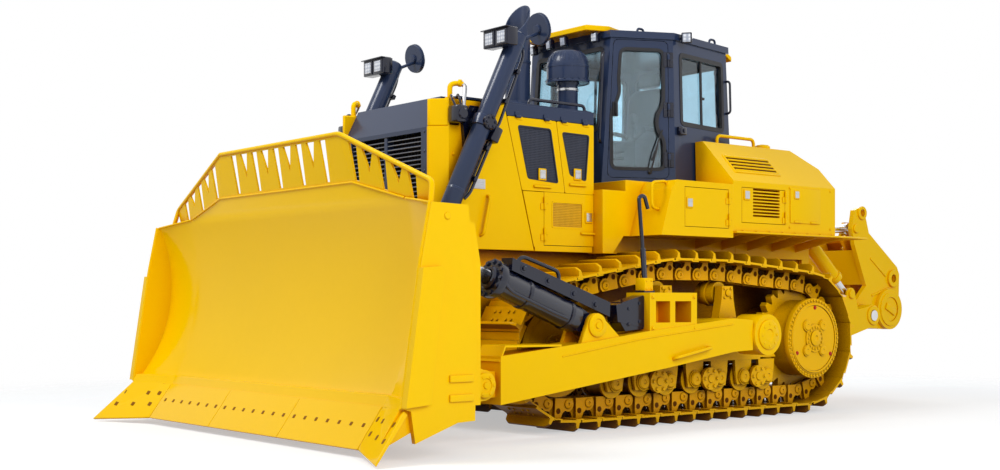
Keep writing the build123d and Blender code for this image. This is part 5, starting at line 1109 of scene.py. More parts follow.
def build_tilt():
    """Gland bolts, bands, grab handle, guard bolts and pipe of the tilt cylinders."""
    ahead = across(heading(TILT_A, TILT_B), 0)
    shapes = [bolt_ring(0.020, tilt_point(1.190), ahead, 0.148, 12)]
    wiper = [(0.070, 0), (0.105, 0), (0.105, 0.020), (0.092, 0.034), (0.070, 0.034)]
    shapes.append(turned(wiper, tilt_point(1.190), ahead, 32))
    band = [(0.130, -0.018), (0.137, -0.014), (0.137, 0.014), (0.130, 0.018)]
    shapes += [turned(band, tilt_point(distance), ahead, 40) for distance in (0.28, 0.80, 1.10)]
    grab = [tilt_point(0.96, 0.21), tilt_point(0.93, 0.305), tilt_point(0.47, 0.335), tilt_point(0.44, 0.235)]
    shapes.append(tube(bent_path(grab, 0.06), 0.019, 10))
    spots = [tilt_point(d, 0.19, 1.730) for d in (0.02, 0.30, 0.62, 0.92)]
    washer = turned(disc_profile(0.040, 0.004, 0.002), (0, 0, 0), UP, 20)
    shapes.append(placed(joined(hex_head(0.021), washer), *facing(spots, LEFT)))
    line = [
        tilt_point(0.35, -0.06, 1.800), tilt_point(0.50, -0.07, 1.806), tilt_point(1.05, -0.07, 1.806),
        tilt_point(1.13, -0.02, 1.795)
    ]
    shapes.append(tube(bent_path(line, 0.06), 0.016, 8))
    piece("tilt_fittings", mirrored(joined(*shapes)), BLACK, "tilt_tube_pair")


build_arms()
build_posts()
build_tilt()


# Lift cylinders, lamps and mirrors

LIFT_A, LIFT_B = np.array([2.534, 2.830]), np.array([3.410, 1.050])    # trunnion and rod eye
LIFT_RUN = across(heading(LIFT_A, LIFT_B), 0)                 # down the barrel
LIFT_OFF = np.array([-LIFT_RUN[2], 0, LIFT_RUN[0]])           # square to it
LIFT_Y = 1.0              # the cylinder's middle line, which its lamp and mirror share
LAMP_FRONT, LAMP_Z = 2.385, 3.624
PIPE_LIFT = -0.118        # from the barrel's middle line to its pipes
MIRROR_LOOK = (-1, 0, 0.2)
GUARD_FACE = 0.850        # the radiator guard's sides, in one plane with the engine bay's


def lift_point(distance, lift=0.0, y=LIFT_Y):
    """A point beside the lift cylinder's line, by distance from its trunnion and height off it."""
    return beside(LIFT_A, LIFT_B, distance, lift, y)


def build_lift():
    """The barrels of the lift cylinders, with their bands and trunnion collars."""
    barrel = [
        (0, 0), (0.070, 0), (0.088, 0.018), (0.088, 1.862), (0.084, 1.868), (0.060, 1.868), (0.060, 0.060),
        (0, 0.060)
    ]
    bands = [turned(barrel, lift_point(-0.960), LIFT_RUN, 48)]
    bands.append(turned(disc_profile(0.070, 0.034), across(LIFT_A, 0.893), LEFT, 32))
    band = [(0.086, -0.012), (0.0905, -0.010), (0.0905, 0.010), (0.086, 0.012)]
    bands += [turned(band, lift_point(distance), LIFT_RUN, 48) for distance in (-0.84, 0.70)]
    collar = [(0.086, -0.055), (0.106, -0.048), (0.106, 0.048), (0.086, 0.055)]
    bands.append(turned(collar, lift_point(0.0), LIFT_RUN, 36))
    piece("lift_tubes", mirrored(joined(*bands)), SLATE, "lift_tube_pair", replaces=("lift_barrels",))


def build_lift_pipes():
    """Clamped pipes along the lift cylinders, and their trunnions' caps."""
    pipes = []
    for y in (1.035, 0.975):
        run = [
            lift_point(-0.06, -0.100, y), lift_point(0.02, PIPE_LIFT - 0.02, y),
            lift_point(0.66, PIPE_LIFT - 0.01, y), lift_point(0.735, -0.095, y),
        ]
        pipes.append(tube(bent_path(run, 0.05), 0.015, 8))
    upper = [
        lift_point(0.04, -0.10, 1.05), lift_point(-0.04, -0.135, 1.05), lift_point(-0.80, -0.120, 1.03),
        lift_point(-0.87, -0.085, 1.01)
    ]
    pipes.append(tube(bent_path(upper, 0.06), 0.015, 8))
    for distance in (0.20, 0.52, -0.30, -0.62):
        pipes.append(slab(lift_point(distance, PIPE_LIFT, 1.005), (0.055, 0.024, 0.018), LIFT_OFF, LEFT))
    piece("lift_pipes", mirrored(joined(*pipes)), BLACK, "lift_tube_pair")

    caps = [slab(lift_point(0.055, -0.125, 1.050), (0.075, 0.055, 0.045), LIFT_OFF, LIFT_RUN, 0.014)]
    caps.append(turned(disc_profile(0.070, 0.040, 0.012), across(LIFT_A, 1.085), LEFT, 32))
    caps.append(bolt_ring(0.013, across(LIFT_A, 1.125), LEFT, 0.048, 6))
    piece("trunnion_caps", mirrored(joined(*caps)), BLACK, "lift_tube_pair")


def build_lamps():
    """Twin lamps on the lift cylinders: housings, brows, fins and lenses."""
    housing = [
        slab((LAMP_FRONT - 0.058, LIFT_Y, LAMP_Z + 0.004), (0.185, 0.083, 0.058), AHEAD, LEFT, 0.010),
        slab((LAMP_FRONT + 0.004, LIFT_Y, LAMP_Z + 0.084), (0.190, 0.026, 0.005), UP, LEFT, 0.004),
        slab((LAMP_FRONT - 0.150, LIFT_Y, LAMP_Z - 0.004), (0.055, 0.050, 0.030), UP, AHEAD),
    ]
    fins = LAMP_FRONT - 0.100 + 0.017 * np.arange(5)
    housing += [slab((x, LIFT_Y, LAMP_Z + 0.089), (0.004, 0.165, 0.006), UP, AHEAD, 0.003) for x in fins]
    lenses = []
    for y in (LIFT_Y - 0.088, LIFT_Y + 0.088):
        housing.append(slab((LAMP_FRONT + 0.002, y, LAMP_Z), (0.078, 0.070, 0.008), AHEAD, LEFT))
        lenses.append(slab((LAMP_FRONT + 0.010, y, LAMP_Z), (0.052, 0.054, 0.005), AHEAD, LEFT, 0.004))
    piece("lamp_housings", mirrored(joined(*housing)), BLACK, "lift_tube_pair", replaces=("work_lamps",))
    piece("lamp_lenses", mirrored(joined(*lenses)), LENS, "lift_tube_pair")


def build_mirrors():
    """Round mirrors behind the lamps: domed glass, a hoop and a boss."""
    dome = [(0, 0), (0.132, 0), (0.130, 0.004), (0.08, 0.009), (0, 0.012)]
    glass = turned(dome, (1.849, LIFT_Y, 3.776), MIRROR_LOOK, 40)
    piece("mirror_glass", mirrored(glass), MIRROR, "lift_tube_pair")
    hoop = [(0.130, -0.004), (0.150, -0.004), (0.152, 0.010), (0.146, 0.018), (0.130, 0.012)]
    rim = turned(hoop, (1.853, LIFT_Y, 3.775), MIRROR_LOOK, 40)
    knob = [(0, 0), (0.045, 0), (0.040, 0.018), (0, 0.022)]
    boss = turned(knob, (1.881, LIFT_Y, 3.770), -np.array(MIRROR_LOOK), 24)
    piece("mirror_rims", mirrored(joined(rim, boss)), SLATE, "lift_tube_pair")


def build_guard():
    """Elbows, rails, bolts and column tops on the radiator guard."""
    elbow = [(2.760, 0.800, 3.045), (2.760, 0.800, 3.190), (2.690, 0.840, 3.200), (2.660, 0.860, 3.190)]
    shapes = [tube(bent_path(elbow, 0.045), 0.024, 12)]
    shapes.append(turned(stepped_cap(0.044, 0.020, 0.028, 0.026), (2.760, 0.800, 3.046), UP, 24))
    shapes.append(turned(disc_profile(0.034, 0.03), (2.690, 0.840, 3.200), (-0.4, 0.6, -0.1), 12))
    rail = [
        (2.364, GUARD_FACE, 2.183), (2.364, 0.900, 2.183), (2.447, 0.900, 1.820), (2.447, GUARD_FACE, 1.820)]
    shapes.append(tube(bent_path(rail, 0.04), 0.014, 10))
    spots = [(x, GUARD_FACE, z) for x, z in ((2.76, 1.55), (2.76, 2.05), (2.76, 2.55), (2.70, 2.95))]
    shapes.append(bolt_heads(0.015, spots, LEFT))
    column = [(2.810, GUARD_FACE), (2.680, GUARD_FACE), (2.680, 0.690), (2.940, 0.690), (2.940, 0.720)]
    piece("guard_column_tops", mirrored(prism(column, 2.799, 3.050)), YELLOW, "hull", bevel=0.012)
    piece("guard_fittings", mirrored(joined(*shapes)), YELLOW, "hull")


def build_trunnions():
    """Hose blocks and lines at the trunnions, vent plates below, and bolts on the yokes."""
    block = [slab((2.758, 0.922, 2.900), (0.066, 0.080, 0.072), round_by=0.020)]
    block.append(turned(disc_profile(0.050, 0.020, 0.008), (2.758, 0.993, 2.900), LEFT, 28))
    hoses = (
        [(2.786, 0.930, 2.960), (2.806, 0.900, 3.035), (2.782, 0.850, 3.080), (2.735, 0.820, 3.048)],
        [(2.738, 0.945, 2.960), (2.748, 0.930, 3.040), (2.730, 0.880, 3.085), (2.705, 0.825, 3.048)],
    )
    block += [tube(smooth_path(hose), 0.011, 8) for hose in hoses]
    piece("trunnion_blocks", mirrored(joined(*block)), BLACK, "hull")
    line = [(2.668, 0.857, 3.192), (2.652, 0.885, 3.165), (2.690, 0.925, 3.060), (2.716, 0.945, 2.955)]
    piece("trunnion_lines", mirrored(tube(smooth_path(line), 0.019, 10)), STEEL, "hull")

    vent = np.array([2.460, 2.292])
    plate = [slab(across(vent, GUARD_FACE + 0.002), (0.072, 0.046, 0.004))]
    for k in range(-2, 3):
        plate.append(slab(across(vent + (0, 0.016 * k), GUARD_FACE + 0.007), (0.058, 0.0045, 0.003)))
    piece("vent_plates", mirrored(joined(*plate)), STEEL, "hull")
    round_trunnion = ((-0.12, -0.15), (0.09, -0.15), (0.10, 0.03), (0.03, 0.13), (-0.09, 0.13))
    yoke = [across(LIFT_A + shift, 0.8915) for shift in np.array(round_trunnion)]
    piece("yoke_bolts", mirrored(bolt_heads(0.018, yoke, LEFT)), BLACK, "hull")


build_lift()
build_lift_pipes()
build_lamps()
build_mirrors()
build_guard()
build_trunnions()


# Engine bay

def latch(x, z, y, size=0.05):
    """A paddle latch: a raised frame with a bright paddle inside it."""
    rim = slab((x, y + 0.004, z), (1.35 * size, 1.6 * size, 0.008))
    paddle = slab((x, y + 0.012, z), (size, 1.2 * size, 0.007))
    grip = slab((x, y + 0.019, z + 0.5 * size), (0.8 * size, 0.22 * size, 0.005), round_by=0.004)
    return rim, joined(paddle, grip)


def rounded_outline(points, corner):
    """A closed outline whose corners are quadratic bends, each held within its two sides."""
    p = np.asarray(points, float)
    t = np.linspace(0, 1, 8)[:, None]
    path = []
    for a, b, c in zip(np.roll(p, 1, 0), p, np.roll(p, -1, 0)):
        start = b + (a - b) * min(corner / np.linalg.norm(a - b), 0.48)
        end = b + (c - b) * min(corner / np.linalg.norm(c - b), 0.48)
        path.append((1 - t)**2 * start + 2 * t * (1 - t) * b + t**2 * end)
    return np.concatenate(path)


def ray_outline(points, corner, centre, count=144):
    """A rounded outline where even rays from a centre meet it: x and y read off by angle."""
    path = rounded_outline(points, corner) - centre
    angle = np.unwrap(np.arctan2(path[:, 1], path[:, 0]))
    angle = np.concatenate([angle - 2 * np.pi, angle, angle + 2 * np.pi])
    path = np.concatenate([path, path, path])
    wanted = np.linspace(0, 2 * np.pi, count, endpoint=False)
    return centre + np.c_[np.interp(wanted, angle, path[:, 0]), np.interp(wanted, angle, path[:, 1])]


def framed(outer, inner, outer_corner, inner_corner, low, high):
    """A plate with a window: four loops, out and in, low and high, joined ray by ray."""
    centre = np.mean(inner, 0)
    out = ray_outline(outer, outer_corner, centre)
    hole = ray_outline(inner, inner_corner, centre)
    loops = ((hole, low), (hole, high), (out, high), (out, low))
    rows = [np.c_[path, np.full(len(path), z)] for path, z in loops]
    verts = np.stack(rows, 1)
    verts = np.concatenate([verts, verts[:1]])
    return verts.reshape(-1, 3), grid_faces(len(out) + 1, 4)


def fan_plate(points, corner, low, high):
    """A thin plate of any outline that its middle can see: rings from the middle out and back."""
    centre = np.mean(points, 0)
    path = ray_outline(points, corner, centre)
    middle = np.repeat(centre[None], len(path), 0)
    rings = ((middle, low), (path, low), (path, high), (middle, high))
    rows = [np.c_[ring, np.full(len(path), z)] for ring, z in rings]
    return np.concatenate(rows), grid_faces(4, len(path))


def flat_band(points, inner, outer, low, high, corner):
    """A flat frame round an outline: a rectangle's corners carried round it along its normals."""
    path = rounded_outline(points, corner)
    tangent = np.roll(path, -1, 0) - np.roll(path, 1, 0)
    tangent /= np.linalg.norm(tangent, axis=1, keepdims=True)
    normal = np.c_[tangent[:, 1], -tangent[:, 0]]
    rows = []
    for offset, height in ((inner, low), (inner, high), (outer, high), (outer, low)):
        rows.append(np.c_[path + normal * offset, np.full(len(path), height)])
    verts = np.stack(rows, 1)
    verts = np.concatenate([verts, verts[:1]])
    return verts.reshape(-1, 3), grid_faces(len(path) + 1, 4)


def on_side(shape, y):
    """Stands a shape drawn in X and Y up against the machine's left side, its Z outwards."""
    verts, faces = shape
    verts = np.asarray(verts)
    return np.c_[verts[:, 0], y + verts[:, 2], verts[:, 1]], [list(f)[::-1] for f in faces]


DOOR_LOW, DOOR_HIGH = 2.262, 2.950        # the upper engine doors
FRONT_DOOR = ((1.395, DOOR_LOW), (1.938, DOOR_LOW), (2.124, DOOR_HIGH), (1.508, DOOR_HIGH))
REAR_DOOR = ((1.010, DOOR_LOW), (1.389, DOOR_LOW), (1.502, DOOR_HIGH), (1.010, DOOR_HIGH))
FRONT_PANEL = ((1.482, 2.352), (1.868, 2.378), (1.992, 2.872), (1.580, 2.868))
REAR_PANEL = ((1.116, 2.392), (1.328, 2.440), (1.430, 2.850), (1.073, 2.845))
SERVICE_PANEL = ((1.160, 1.920), (1.562, 1.920), (1.562, 2.172), (1.160, 2.172))


def build_bay_doors():
    """Slanted engine doors, mesh panels, seals, latches and ledges of the engine bay."""
    for door, outline, panel, hinges in (
        ("engine_door_front", FRONT_DOOR, FRONT_PANEL, (1.610, 1.970)),
        ("engine_door_rear", REAR_DOOR, REAR_PANEL, (1.110, 1.390)),
    ):
        leaf = [on_side(framed(outline, panel, 0.010, 0.030, -0.036, 0.0), GUARD_FACE)]
        leaf.append(on_side(fan_plate(panel, 0.030, -0.036, -0.010), GUARD_FACE))
        leaf += [slab((x, GUARD_FACE + 0.003, 2.938), (0.036, 0.016, 0.004)) for x in hinges]
        for side, shape in (("_left", joined(*leaf)), ("_right", other_side(joined(*leaf)))):
            piece(
                door + side + "_leaf", shape, YELLOW, door + side + "_body", replaces=(door + side,),
                bevel=0.003)
    for door, panel, mesh, latch_x, latch_z in (
        ("engine_door_front", FRONT_PANEL, DARK_MESH, 1.690, 2.425),
        ("engine_door_rear", REAR_PANEL, DARK_MESH, 1.232, 2.450),
        ("service_door", SERVICE_PANEL, OCHRE_MESH, 1.082, 2.036),
    ):
        body = door + "_left_body"
        per_side(door + "_mesh", on_side(fan_plate(panel, 0.030, 0, 0.0035), GUARD_FACE - 0.0095), mesh, body)
        seal = on_side(flat_band(panel, -0.010, 0.004, -0.006, 0.003, 0.030), GUARD_FACE)
        per_side(door + "_seal", seal, RUBBER if mesh is DARK_MESH else YELLOW, body)
        rim, paddle = latch(latch_x, latch_z, GUARD_FACE + 0.001, 0.036)
        per_side(door + "_latch_rim", rim, YELLOW, body)
        per_side(door + "_latch", paddle, STEEL, body)
        low = min(z for _, z in panel)
        ledge = slab((latch_x, GUARD_FACE + 0.012, low - 0.045), (0.11, 0.012, 0.012))
        per_side(door + "_ledge", ledge, YELLOW, body)


CLEANER = (0.905, 0.350)       # the air cleaner's axis
DOME = 0.2165                  # radius and middle of its domed top
DOME_Z = 3.600
STACK_X = 1.280                # the exhaust stack's axis


def build_grille():
    """Grille bars, pale as a painted highlight of the louvres' lit edges, and studs before a dark, finned
    core.
    """
    levels = 1.520 + 0.0413 * np.arange(1, 30)
    bars = [
        slab((2.9085, 0, z), (0.575, 0.0050, 0.003), axis=AHEAD, along=LEFT, round_by=0.0028)
        for z in levels
    ]
    piece("grille_edges", joined(*bars), PALE_LIT_EDGE, "hull")
    core = slab((2.800, 0, 2.140), (0.600, 0.640, 0.012), axis=AHEAD, along=LEFT)
    fins = [
        slab((2.815, y, 2.140), (0.006, 0.620, 0.006), axis=AHEAD, along=LEFT)
        for y in np.linspace(-0.55, 0.55, 23)
    ]
    piece("radiator_core", joined(core, *fins), CORE_BLACK, "hull")
    spots = [(2.926, y, z) for y in (-0.635, 0.635) for z in np.linspace(1.50, 2.76, 8)]
    spots += [(2.926, y, 1.48) for y in np.linspace(-0.50, 0.50, 5)]
    piece("grille_bolts", stud_heads(0.014, spots, AHEAD), SLATE, "hull")


def build_hood():
    """Hand rails, seams and studs on the hood."""
    rail = [(1.800, 0.785, 3.080), (1.800, 0.785, 3.145), (1.075, 0.785, 3.145), (1.075, 0.785, 3.080)]
    shapes = [tube(bent_path(rail, 0.05), 0.016, 10)]
    shapes += [turned(disc_profile(0.034, 0.008, 0.003), (x, 0.785, 3.089), UP, 20) for x in (1.075, 1.800)]
    piece("hood_rails", mirrored(joined(*shapes)), BLACK, "hull")
    seams = [
        slab((x, 0, 3.0905), (0.004, 0.800, 0.0025), axis=UP, along=AHEAD, round_by=0.002)
        for x in (1.490, 2.190)
    ]
    heads = [(x, y, 3.0895) for x in np.linspace(1.10, 2.55, 9) for y in (-0.755, 0.755)]
    seams.append(stud_heads(0.011, heads, UP, AHEAD))
    piece("hood_seams", joined(*seams), SLATE, "hull")


def build_cleaner():
    """The air cleaner's rims, collar, knob, ribs and clamp."""
    x, y = CLEANER
    bowl = [
        turned(
            [(0.205, 0), (0.224, 0), (0.226, 0.012), (0.222, 0.026), (0.205, 0.026)], (x, y, 3.436), UP, 56
        ),
        turned([(0.205, 0), (0.221, 0.003), (0.221, 0.022), (0.205, 0.025)], (x, y, 3.588), UP, 56),
        turned(
            [(0.100, 0), (0.132, 0), (0.128, 0.030), (0.110, 0.050), (0.100, 0.050)], (x, y, 3.090), UP, 40
        ),
        turned([(0.0, 0), (0.040, 0), (0.036, 0.018), (0.016, 0.024), (0, 0.024)], (x, y, 3.759), UP, 24),
    ]
    t = np.linspace(0, 2 * np.pi, 28, endpoint=False)
    for angle in t:
        a = np.linspace(0.16, 0.74, 5) * np.pi / 2
        lean = np.c_[
            x + DOME * np.cos(a) * np.cos(angle), y + DOME * np.cos(a) * np.sin(angle),
            DOME_Z + DOME * np.sin(a) * 0.999]
        lean = lean[lean[:, 2] < 3.757]
        if len(lean) > 1:
            bowl.append(tube(lean, 0.0045, 6))
    bowl.append(bolt_heads(0.009, ring_of((x, y, 3.462), UP, 0.222, 18), UP, AHEAD))
    piece("cleaner_ribs", joined(*bowl), SLATE, "hull")
    clamp = turned([(0.104, 0), (0.111, 0.002), (0.111, 0.026), (0.104, 0.028)], (x, y, 3.355), UP, 40)
    screw = slab((x + 0.08, y + 0.08, 3.369), (0.022, 0.010, 0.012), axis=(0.7, 0.7, 0), along=(0.7, -0.7, 0))
    piece("cleaner_clamp", joined(clamp, screw), STEEL, "hull")


def build_stack():
    """Bands and a foot ring on the exhaust stack."""
    bands = [
        turned([(0.128, 0), (0.137, 0.002), (0.137, 0.030), (0.128, 0.032)], (STACK_X, 0, z), UP, 44)
        for z in (3.225, 3.640)
    ]
    bands.append(
        turned(
            [(0.128, 0), (0.150, 0), (0.146, 0.020), (0.132, 0.030), (0.128, 0.030)], (STACK_X, 0, 3.208), UP,
            44)
    )
    piece("stack_bands", joined(*bands), SLATE, "hull")


build_bay_doors()
build_grille()
build_hood()
build_cleaner()
build_stack()


# Cab

CAB_LOW = np.array(
    [(0.665, 0.600), (-0.060, 0.950), (-1.150, 0.760), (-1.150, -0.760), (-0.060, -0.950), (0.665, -0.600)])
CAB_HIGH = np.array(
    [(0.545, 0.618), (-0.060, 0.910), (-1.080, 0.732), (-1.080, -0.732), (-0.060, -0.910), (0.545, -0.618)])
CAB_FLOOR, CAB_TOP = 2.420, 3.960
WALL_LEAN = 0.040         # how far a side wall leans in
WALL_H = math.hypot(CAB_TOP - CAB_FLOOR, WALL_LEAN)
DOOR_LEAN = 0.0864        # how far the door's front edge leans back over that height
SIDE_WINDOW = (0.130, 0.150, 0.640, 0.170)      # margins left, right, low and high
REAR_WINDOW = (0.150, 0.150, 0.640, 0.170)
WINDSCREEN = (0.090, 0.090, 0.560, 0.130)


def wall_frame(first, second):
    """A cab wall's frame, X along its foot and Z outwards, and the length of its foot."""
    foot = np.array([*CAB_LOW[first], CAB_FLOOR])
    along = np.array([*CAB_LOW[second], CAB_FLOOR]) - foot
    rise = np.array([*CAB_HIGH[first], CAB_TOP]) - foot
    return frame_at(foot, along, np.cross(along, rise)), float(np.linalg.norm(along))


def window_outline(length, margins):
    """A window's four corners on its wall, from its margins left, right, low and high."""
    left, right, low, high = margins
    return [(left, low), (length - right, low), (length - right, WALL_H - high), (left, WALL_H - high)]


def window_seal(outline):
    """The rubber frame that laps a fixed pane and its wall."""
    return flat_band(outline, -0.028, 0.018, -0.030, 0.006, 0.055)


def door_outline(length):
    """The cab door's corners inside its opening, its front edge leaning with the windscreen."""
    slope = DOOR_LEAN / WALL_H
    low, high, front, rear = 0.061, WALL_H - 0.061, 0.061, length - 0.076
    return [(front + low * slope, low), (rear, low), (rear, high), (front + high * slope, high)]


def door_glass_outline(length):
    """The door's window, drawn in at the handle and at the hinge side."""
    left, right, low, high = 0.105, length - 0.118, 0.150, WALL_H - 0.150
    return [
        (left, low), (right, low), (right, low + 0.310), (right - 0.080, low + 0.410),
        (right - 0.080, low + 0.560),
        (right - 0.005, low + 0.680), (right - 0.005, high), (left + 0.110, high),
        (left + 0.082, low + 0.900),
        (left + 0.098, low + 0.800), (left + 0.050, low + 0.665), (left, low + 0.580),
    ]


def build_cab_windows():
    """Door panels and panes, black seals round every pane, and the divider of the sliding side window."""
    door, door_length = wall_frame(0, 1)
    glass = door_glass_outline(door_length)
    panel = placed(framed(door_outline(door_length), glass, 0.055, 0.075, -0.060, 0.0), door)
    pane = placed(fan_plate(glass, 0.075, -0.033, -0.027), door)
    for side in ("left", "right"):
        body = "cab_door_%s_body" % side
        for name, shape, finish, node in (
            ("cab_door_%s_panel", panel, SLATE, "cab_door_%s"),
            ("cab_door_%s_pane", pane, GLASS, "door_glass_%s"),
        ):
            shape = shape if side == "left" else other_side(shape)
            piece(name % side, shape, finish, body, replaces=(node % side,))
    seal = flat_band(glass, -0.020, 0.014, -0.030, 0.007, 0.075)
    per_side("door_seal", placed(seal, door), RUBBER, "cab_door_left_body")

    side, side_length = wall_frame(1, 2)
    pane = window_outline(side_length, SIDE_WINDOW)
    seals = [mirrored(placed(window_seal(pane), side))]
    middle, height = (pane[0][0] + pane[1][0]) / 2, (pane[0][1] + pane[2][1]) / 2
    half = (pane[2][1] - pane[0][1]) / 2
    divider = placed(rounded_slab((0.016, half, 0.010), 0.006, 3), side @ translation(middle, height, -0.014))
    catch = placed(
        rounded_slab((0.022, 0.014, 0.010), 0.006, 3),
        side @ translation(middle + 0.035, height - 0.05, -0.012))
    seals.append(mirrored(joined(divider, catch)))
    for first, second, margins in ((2, 3, REAR_WINDOW), (5, 0, WINDSCREEN)):
        wall, length = wall_frame(first, second)
        seals.append(placed(window_seal(window_outline(length, margins)), wall))
    piece("window_seals", joined(*seals), RUBBER, "hull")


def wall_tube(frame_of_wall, points, radius, bend, sides=8):
    """A bent tube whose points are given on a wall: along, up and out."""
    return placed(tube(bent_path(points, bend), radius, sides), frame_of_wall)


def build_hinges():
    """Hinge plates with studs on the cab doors and their pillars."""
    door, length = wall_frame(0, 1)
    hinge = length - 0.073
    on_door, on_frame = [], []
    for up in (WALL_H / 2 - 0.52, WALL_H / 2, WALL_H / 2 + 0.52):
        for shapes, centre in ((on_door, hinge - 0.036), (on_frame, hinge + 0.034)):
            shapes.append(
                placed(rounded_slab((0.020, 0.078, 0.007), 0.004, 3), door @ translation(centre, up, 0.006))
            )
            heads = [
                door @ translation(centre + du, up + dv, 0.0125)
                for du in (-0.009, 0.009) for dv in (-0.055, 0, 0.055)
            ]
            shapes.append(placed(round_head(0.0065), *heads))
        on_door.append(
            wall_tube(door, [(hinge, up - 0.075, 0.010), (hinge, up + 0.075, 0.010)], 0.012, 0.0, 12))
    per_side("door_hinge_plates", joined(*on_door), BLACK, "cab_door_left_body")
    piece("pillar_hinge_plates", mirrored(joined(*on_frame)), BLACK, "hull")


def build_handles():
    """Handles and wipers on the cab doors."""
    door, _ = wall_frame(0, 1)
    handle = [placed(rounded_slab((0.030, 0.075, 0.010), 0.008, 3), door @ translation(0.150, 0.760, 0.006))]
    handle.append(
        wall_tube(
            door,
            [(0.150, 0.700, 0.010), (0.150, 0.700, 0.048), (0.150, 0.820, 0.048), (0.150, 0.820, 0.010)],
            0.011, 0.03)
    )
    arm = [(0.520, 0.120, 0.006), (0.522, 0.128, 0.040), (0.585, 0.345, 0.042), (0.600, 0.395, 0.034)]
    handle.append(wall_tube(door, arm, 0.008, 0.02))
    handle.append(wall_tube(door, [(0.540, 0.235, 0.020), (0.655, 0.555, 0.020)], 0.010, 0.0, 6))
    handle.append(
        placed(
            lathe([(0, 0), (0.022, 0), (0.020, 0.020), (0.010, 0.030), (0, 0.030)], 16),
            door @ translation(0.520, 0.120, 0.004))
    )
    per_side("door_handle_and_wiper", joined(*handle), RUBBER, "cab_door_left_body")


def build_trim():
    """Grab rails, side lamps and gutters on the cab."""
    door, _ = wall_frame(0, 1)
    side, side_length = wall_frame(1, 2)
    trim = [
        wall_tube(
            side, [(1.020, 0.840, 0.0), (1.020, 0.840, 0.060), (1.020, 1.190, 0.060), (1.020, 1.190, 0.0)],
            0.013, 0.04)
    ]
    trim.append(
        placed(rounded_slab((0.055, 0.042, 0.030), 0.010, 3), side @ translation(0.095, 0.560, 0.028)))
    trim.append(
        placed(
            lathe([(0, 0), (0.022, 0), (0.022, 0.012), (0, 0.016)], 20),
            side @ translation(0.095, 0.560, 0.058))
    )
    foot = [(0.02, 1.515, 0.012), (side_length - 0.04, 1.512, 0.012)]
    trim.append(placed(tube(np.array(foot), 0.012, 8), side))
    grab = [(0.040, 1.340, -0.01), (0.010, 1.335, 0.055), (-0.040, 0.420, 0.055), (0.0, 0.415, -0.01)]
    trim.append(wall_tube(door, grab, 0.016, 0.06, 10))
    piece("cab_trim", mirrored(joined(*trim)), BLACK, "hull")


def build_cab_lamps():
    """Work lamps round the cab's roof, on stems."""
    cases, lenses = [], []
    for centre, look, half, stem in (
        ((0.640, 0.480, 3.925), (1, 0.25, -0.10), (0.040, 0.050), (0, 0, 0.066)),
        ((0.735, 0.110, 3.925), (1, 0.10, -0.10), (0.040, 0.050), (0, 0, 0.066)),
        ((-0.185, 0.990, 3.945), (0.80, 0.62, -0.10), (0.056, 0.056), (-0.03, -0.09, 0.02)),
        ((-1.235, 0.500, 3.800), (-1, 0.25, -0.15), (0.056, 0.070), (0.02, 0, 0.120)),
    ):
        look = np.array(look) / np.linalg.norm(look)
        centre = np.array(centre)
        along = (-look[1], look[0], 0)
        cases.append(slab(centre, (*half, 0.032), axis=look, along=along, round_by=0.012))
        bright = (0.72 * half[0], 0.76 * half[1], 0.005)
        lenses.append(slab(centre + 0.031 * look, bright, axis=look, along=along, round_by=0.0045))
        cases.append(tube(np.array([centre - 0.015 * look, centre - 0.015 * look + stem]), 0.013, 8))
    piece("cab_lamps", mirrored(joined(*cases)), BLACK, "hull")
    piece("cab_lamp_lenses", mirrored(joined(*lenses)), LENS, "hull")


def build_roof():
    """Visors with their studs, and lifting eyes on the roof."""
    brow = [(0.270, -0.480), (0.510, -0.560), (0.760, -0.470), (0.760, 0.470), (0.510, 0.560), (0.270, 0.480)]
    tail = [
        (-1.025, 3.990), (-1.025, 4.040), (-1.145, 4.040), (-1.335, 3.935), (-1.335, 3.880), (-1.155, 3.990)
    ]
    visors = joined(prism(brow, 3.990, 4.046), side_prism(tail, -0.600, 0.600))
    piece("visor_plates", visors, YELLOW, "hull", replaces=("sun_visors",), bevel=0.008)

    eyes = []
    for x, z in ((0.105, 3.988), (-1.010, 4.012)):
        loop = [
            (x - 0.045, 0.600, z), (x - 0.045, 0.600, z + 0.075), (x + 0.045, 0.600, z + 0.075),
            (x + 0.045, 0.600, z)
        ]
        eyes.append(tube(bent_path(loop, 0.035), 0.013, 10))
        eyes.append(slab((x, 0.600, z + 0.004), (0.080, 0.030, 0.006), axis=UP, along=AHEAD))
    piece("roof_eyes", mirrored(joined(*eyes)), SLATE, "hull")
    spots = [(0.32, y, 4.0455) for y in (-0.42, 0.42)] + [(0.50, y, 4.0455) for y in (-0.30, 0, 0.30)]
    spots += [(-1.08, y, 4.0395) for y in (-0.40, 0, 0.40)]
    piece("visor_bolts", stud_heads(0.013, spots, UP, AHEAD), BLACK, "hull")


def cushion(half, square=0.32, rows=22, cols=44):
    """A crowned pad: a squared ellipsoid whose cosines and sines are raised to a small power."""
    v = np.linspace(-np.pi / 2, np.pi / 2, rows)[:, None]
    u = np.linspace(-np.pi, np.pi, cols, endpoint=False)[None]

    def power(w):
        """Raises the size of w and keeps its sign."""
        return np.sign(w) * np.abs(w)**square

    x = half[0] * power(np.cos(v)) * power(np.cos(u))
    y = half[1] * power(np.cos(v)) * power(np.sin(u))
    z = half[2] * power(np.sin(v)) * np.ones_like(u)
    crown = 0.16 * half[2] * np.clip(z / half[2], 0, 1) * (1 - (x / half[0])**2) * (1 - (y / half[1])**2)
    return np.stack([x, y, z + crown - 0.16 * half[2]], -1).reshape(-1, 3), grid_faces(rows, cols)


